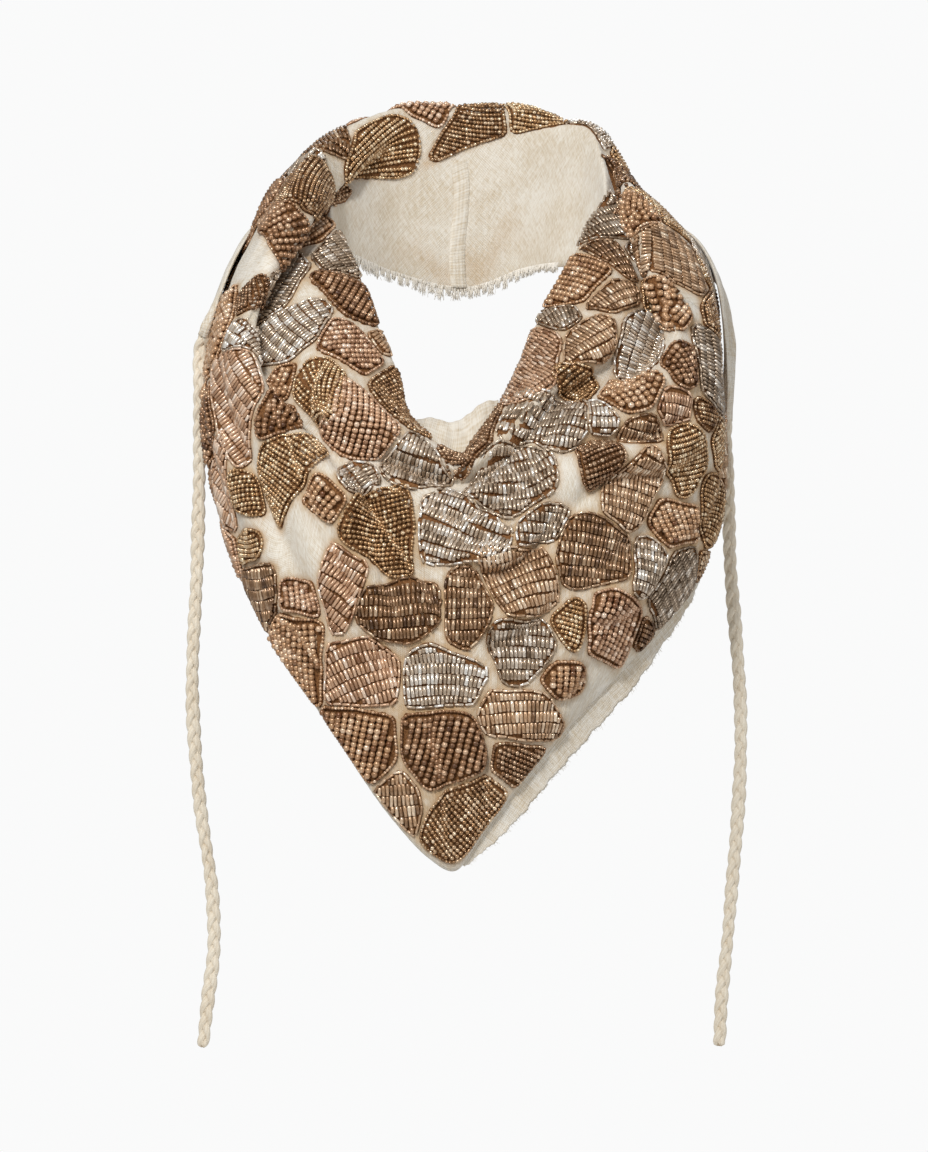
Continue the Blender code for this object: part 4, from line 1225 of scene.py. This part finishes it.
def hemBorder():
    # A strip under the lower edge, laid flatter than the cloth, with a raw outer edge.
    count, rows, tuck = hem["columns"], hem["rows"], hem["tuck"]
    angles = np.linspace(3, 86, count)
    shows = np.interp(angles, hemShows[:, 0], hemShows[:, 1])
    shows = shows + 0.3 * np.sin(angles * 1.7) + 0.2 * np.sin(angles * 4.9)
    _, normal, _, down = surfaceAt(angles, np.full(count, 9.97))
    here = surfaceAt(angles, np.full(count, 10.0))[0]
    facing = unit(0.35 * normal + np.array([0.0, -0.65, 0.0]))
    flat = np.cross(np.gradient(here, axis=0), facing)
    flat = unit(flat * np.sign(dot(flat, down))[:, None])
    down = unit(down)
    out = -tuck + np.linspace(0, 1, rows)[:, None] * (tuck + shows)
    wave = 0.35 * np.sin(angles * 0.9)[None] * np.clip(out, 0, None) / 8
    middle = here - normal * hem["behind"] + down * np.minimum(out, 0)[..., None]
    middle = middle + flat * np.maximum(out, 0)[..., None]
    middle = middle + normal * wave[..., None]
    half = normal[None] * 0.3
    length = lengthAlong(here)
    spread = np.stack([length + 0 * out, out], axis=-1)
    made = shellPiece("hemStrip", middle + half, middle - half, spread, plainGauze)
    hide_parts("hem_border")
    for place in dice.uniform(4, count - 4, hem["threads"]):
        column = int(place)
        start = middle[-1, column] - flat[column] * 0.4
        reach = dice.uniform(0.5, 2.2)
        sway = dice.normal(0, 0.35, 3)
        step = np.linspace(0, 1, 5)[:, None]
        line = start + flat[column] * reach * step + sway * step**2 * reach * 0.6
        threads.append((line, hem["threadWidth"]))
    return length[-1]


hemRun = hemBorder()
print("hem strip", round(hemRun), "mm")
# angle, how far the threads hang, mm
fray = np.array([(150, 3.5), (158, 2.0), (166, 4.5), (172, 6.0), (180, 5.0), (188, 7.0), (196, 4.0),
                 (204, 6.5), (210, 3.0)], float)
fringe = {"first": 149, "last": 211, "count": 1500, "tuft": 1.7, "threadWidth": 0.23}


def frayThreads():
    # Loose threads down from the raw lower edge of the collar's inside, of about the lengths in the
    # table, drawn together in tufts.
    for angle in dice.uniform(fringe["first"], fringe["last"], fringe["count"]):
        point, normal, along, down = surfaceAt(angle, 0.05)
        tuft = round(angle / fringe["tuft"]) * fringe["tuft"]
        toTuft = (tuft - angle) * np.linalg.norm(along) * 0.75
        down, along = unit(down), unit(along)
        whole = 0.8 + 0.35 * math.sin(tuft * 2.9) * math.sin(tuft * 0.83)
        reach = np.interp(angle, fray[:, 0], fray[:, 1]) * dice.uniform(0.6, 1.35) * whole + 2.0
        lean = dice.normal(0, 0.14) + toTuft / reach
        curl = dice.uniform(-0.5, 0.5)
        step = np.linspace(0, 1, 5)[:, None]
        line = point + normal * dice.uniform(-0.5, 0.5)
        line = line - down * (reach * step - 0.8) + along * (lean * reach * step + curl * np.sin(4 * step))
        threads.append((line + normal * dice.normal(0, 0.4) * step**2, fringe["threadWidth"]))


frayThreads()


def threadMaterial():
    # Loose cotton, paler than the cloth, uneven along each thread.
    made, shader, shade = newMaterial("loose threads", {"Roughness": 0.9, "Sheen Weight": 0.4})
    fine = shade.noise(shade.node("ShaderNodeTexCoord", output=3), 300.0, 2.0)
    link(shade, shade.blend(fine, (0.90, 0.83, 0.72), (0.98, 0.95, 0.89)), shader, "Base Color")
    return made


def roundTurns(sides):
    # The directions round a tube, and the shares of its two ways across in each.
    turn = np.arange(sides) * 2 * np.pi / sides
    return turn, np.cos(turn)[None, :, None], np.sin(turn)[None, :, None]


def threadPiece(name, node):
    # Every thread is a three-sided tube round its line, thinner at its tip.
    points, faces = [], []
    start, sides = 0, 3
    _, cosine, sine = roundTurns(sides)
    for line, wide in threads:
        forward = unit(np.gradient(line, axis=0))
        side = unit(np.cross(forward, [0.3, 0.9, 0.2]))
        other = np.cross(forward, side)
        thin = wide * np.linspace(1, 0.45, len(line))[:, None, None]
        ring = line[:, None] + thin * (side[:, None] * cosine + other[:, None] * sine)
        points.append(ring.reshape(-1, 3))
        faces.append(tubeFaces(len(line), sides, first=start))
        start += sides * len(line)
    points = np.concatenate(points)
    made = newPiece(name, points, outwards(points, np.concatenate(faces)), threadMaterial(),
                    uvs=points[:, :2] * 0.3)
    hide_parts(node)
    print(name, "with", len(threads), "threads")


threadPiece("frayedThreads", "frayed_edge")

# The ties are plaited cords that go on from the tails. Their routes in mm, from the tail to the free end.
ties = {
    "width": 6.8,
    "strand": 1.72,  # half a strand's width, before it is made wider one way and flatter the other
    "wide": 1.12,
    "flat": 0.78,
    "sway": 1.52,
    "rise": 0.85,
    "plait": 25.5,
    "sides": 10,
    "step": 1.1,
    "tuck": 4.0,
}
tieRoutes = {
    "left": [
        (-129.1, -82.7, -69.3), (-130.3, -80.85, -72.55), (-131.4, -83, -95), (-131.6, -79, -125),
        (-133.0, -76, -180), (-135.5, -74, -250), (-132.0, -73, -300), (-125.5, -72, -350),
        (-125.0, -72, -375), (-128.0, -72, -400), (-130.5, -72, -423.5),
    ],
    "right": [
        (132.0, -53.45, -111.0), (131.65, -52.9, -114.85), (132.6, -61, -136), (133.0, -62, -157),
        (133.5, -63, -180), (136.5, -64, -220), (138.5, -65, -250), (138.5, -66, -280), (137.0, -66, -310),
        (134.5, -66, -340), (132.0, -66, -370), (129.0, -66, -400), (128.0, -66, -423.5),
    ],
}


def plaitMaterial():
    # Twisted cotton: slanting threads from the strand's own map, with painted shade darkening it towards the
    # crossings.
    made, shader, shade = newMaterial("plaited cotton", {"Roughness": 0.9, "Sheen Weight": 0.25})
    _, across, down = shade.clothMap()
    place = shade.node("ShaderNodeTexCoord", output=3)
    fine = shade.noise(place, 700.0, 2.0)
    cloud = shade.noise(place, 60.0, 2.0)
    deep = shade.node("ShaderNodeAttribute", {"attribute_name": "deep"}, output=2)
    twist = ((down * 1.3 + across * 37.7) + fine * 1.5).sine() * 0.5 + 0.5
    tone = (twist * 0.16 + (cloud - 0.5) * 0.5 + (fine - 0.5) * 0.35 + 0.72 - deep * 0.6).clamped()
    link(shade, shade.blend(tone, (0.50, 0.36, 0.20), (0.90, 0.83, 0.70)), shader, "Base Color")
    link(shade, shade.bump(twist * 0.5 + fine * 0.3, 0.4, 0.0004), shader, "Normal")
    return made


plaited = plaitMaterial()


def tiePiece(name, node, route):
    # Three strands carried along the route. A strand goes from side to side as a sine and over and under
    # at twice that rate, a third of a turn behind the one before it. All three draw together at the ends.
    path = smoothLine(route, 400)
    path = np.vstack([path[:1] - unit(path[3] - path[0]) * ties["tuck"], path])
    run = lengthAlong(path)
    count = int(run[-1] / ties["step"])
    at = np.linspace(0, run[-1], count)
    spine = np.stack([np.interp(at, run, path[:, k]) for k in range(3)], axis=1)
    forward = unit(np.gradient(spine, axis=0))
    side = unit(np.cross([0.0, -1.0, 0.0], forward))
    front = np.cross(forward, side)
    sway = np.radians(12) * np.sin(at / 55.0)[:, None]
    side, front = (side * np.cos(sway) + front * np.sin(sway),
                   front * np.cos(sway) - side * np.sin(sway))
    closing = np.clip((run[-1] - at) / 3.0, 0, 1)
    taper = np.sqrt(np.clip(1 - (1 - closing) ** 2, 0.0, 1))
    opening = np.clip(at / 8.0, 0, 1) * 0.3 + 0.7
    uneven = 1 + 0.05 * np.sin(at / 7.3) + 0.04 * np.sin(at / 17.1 + 2)
    points, faces, uvs, deep = [], [], [], []
    turn, cosine, sine = roundTurns(ties["sides"])
    for strand in range(3):
        phase = 2 * np.pi * (at / ties["plait"] + strand / 3)
        x = ties["sway"] * np.sin(phase) * opening * uneven * (0.45 + 0.55 * taper)
        z = ties["rise"] * np.sin(2 * phase) * (0.4 + 0.6 * taper)
        line = spine + side * x[:, None] + front * z[:, None]
        ahead = unit(np.gradient(line, axis=0))
        one = unit(np.cross(ahead, front))
        two = np.cross(one, ahead)
        wide = ties["strand"] * taper.clip(0.12, 1) * uneven
        about = one[:, None] * cosine * ties["wide"] + two[:, None] * sine * ties["flat"]
        ring = line[:, None] + wide[:, None, None] * about
        points.append(ring.reshape(-1, 3))
        triangles = tubeFaces(count, ties["sides"], first=strand * count * ties["sides"])
        faces.append(outwards(np.concatenate(points), triangles))
        spread = np.broadcast_arrays(turn[None] / (2 * np.pi), at[:, None])
        uvs.append(np.stack(spread, axis=-1).reshape(-1, 2))
        # painted shade: darker where a strand's surface lies near the cord's middle, between the strands
        outward = np.linalg.norm(ring - spine[:, None], axis=2)
        deep.append(np.clip(1.2 - outward / 1.75, 0, 1).ravel())
    made = newPiece(name, np.concatenate(points), np.concatenate(faces), plaited,
                    uvs=np.concatenate(uvs), values={"deep": np.concatenate(deep)})
    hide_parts(node)
    route = (spine[:: max(count // 60, 1)] / 1000.0)
    route = np.vstack([route, spine[-1] / 1000.0])
    print(name, round(run[-1], 1), "mm")


tiePiece("tieLeft", "tie_left", tieRoutes["left"])
tiePiece("tieRight", "tie_right", tieRoutes["right"])


def backSeam():
    # The raised joining strip down the middle of the collar's inside, from the cloth's middle up.
    rows, columns = 60, 14
    ring, across = np.meshgrid(np.linspace(0.06, 2.2, rows), np.linspace(-1, 1, columns), indexing="ij")
    angle = 181.0 + across * 1.9 + 0.5 * np.sin(ring * 3)
    point, normal = surfaceAt(angle, ring)[:2]
    height = 0.1 + 1.55 * (1 - across**4) + 0.08 * np.sin(ring * 38)
    flat = np.stack([across * 2.2, ring * 20], axis=-1)
    shellPiece("backSeam", point + normal * height[..., None], point, flat, plainGauze)


backSeam()
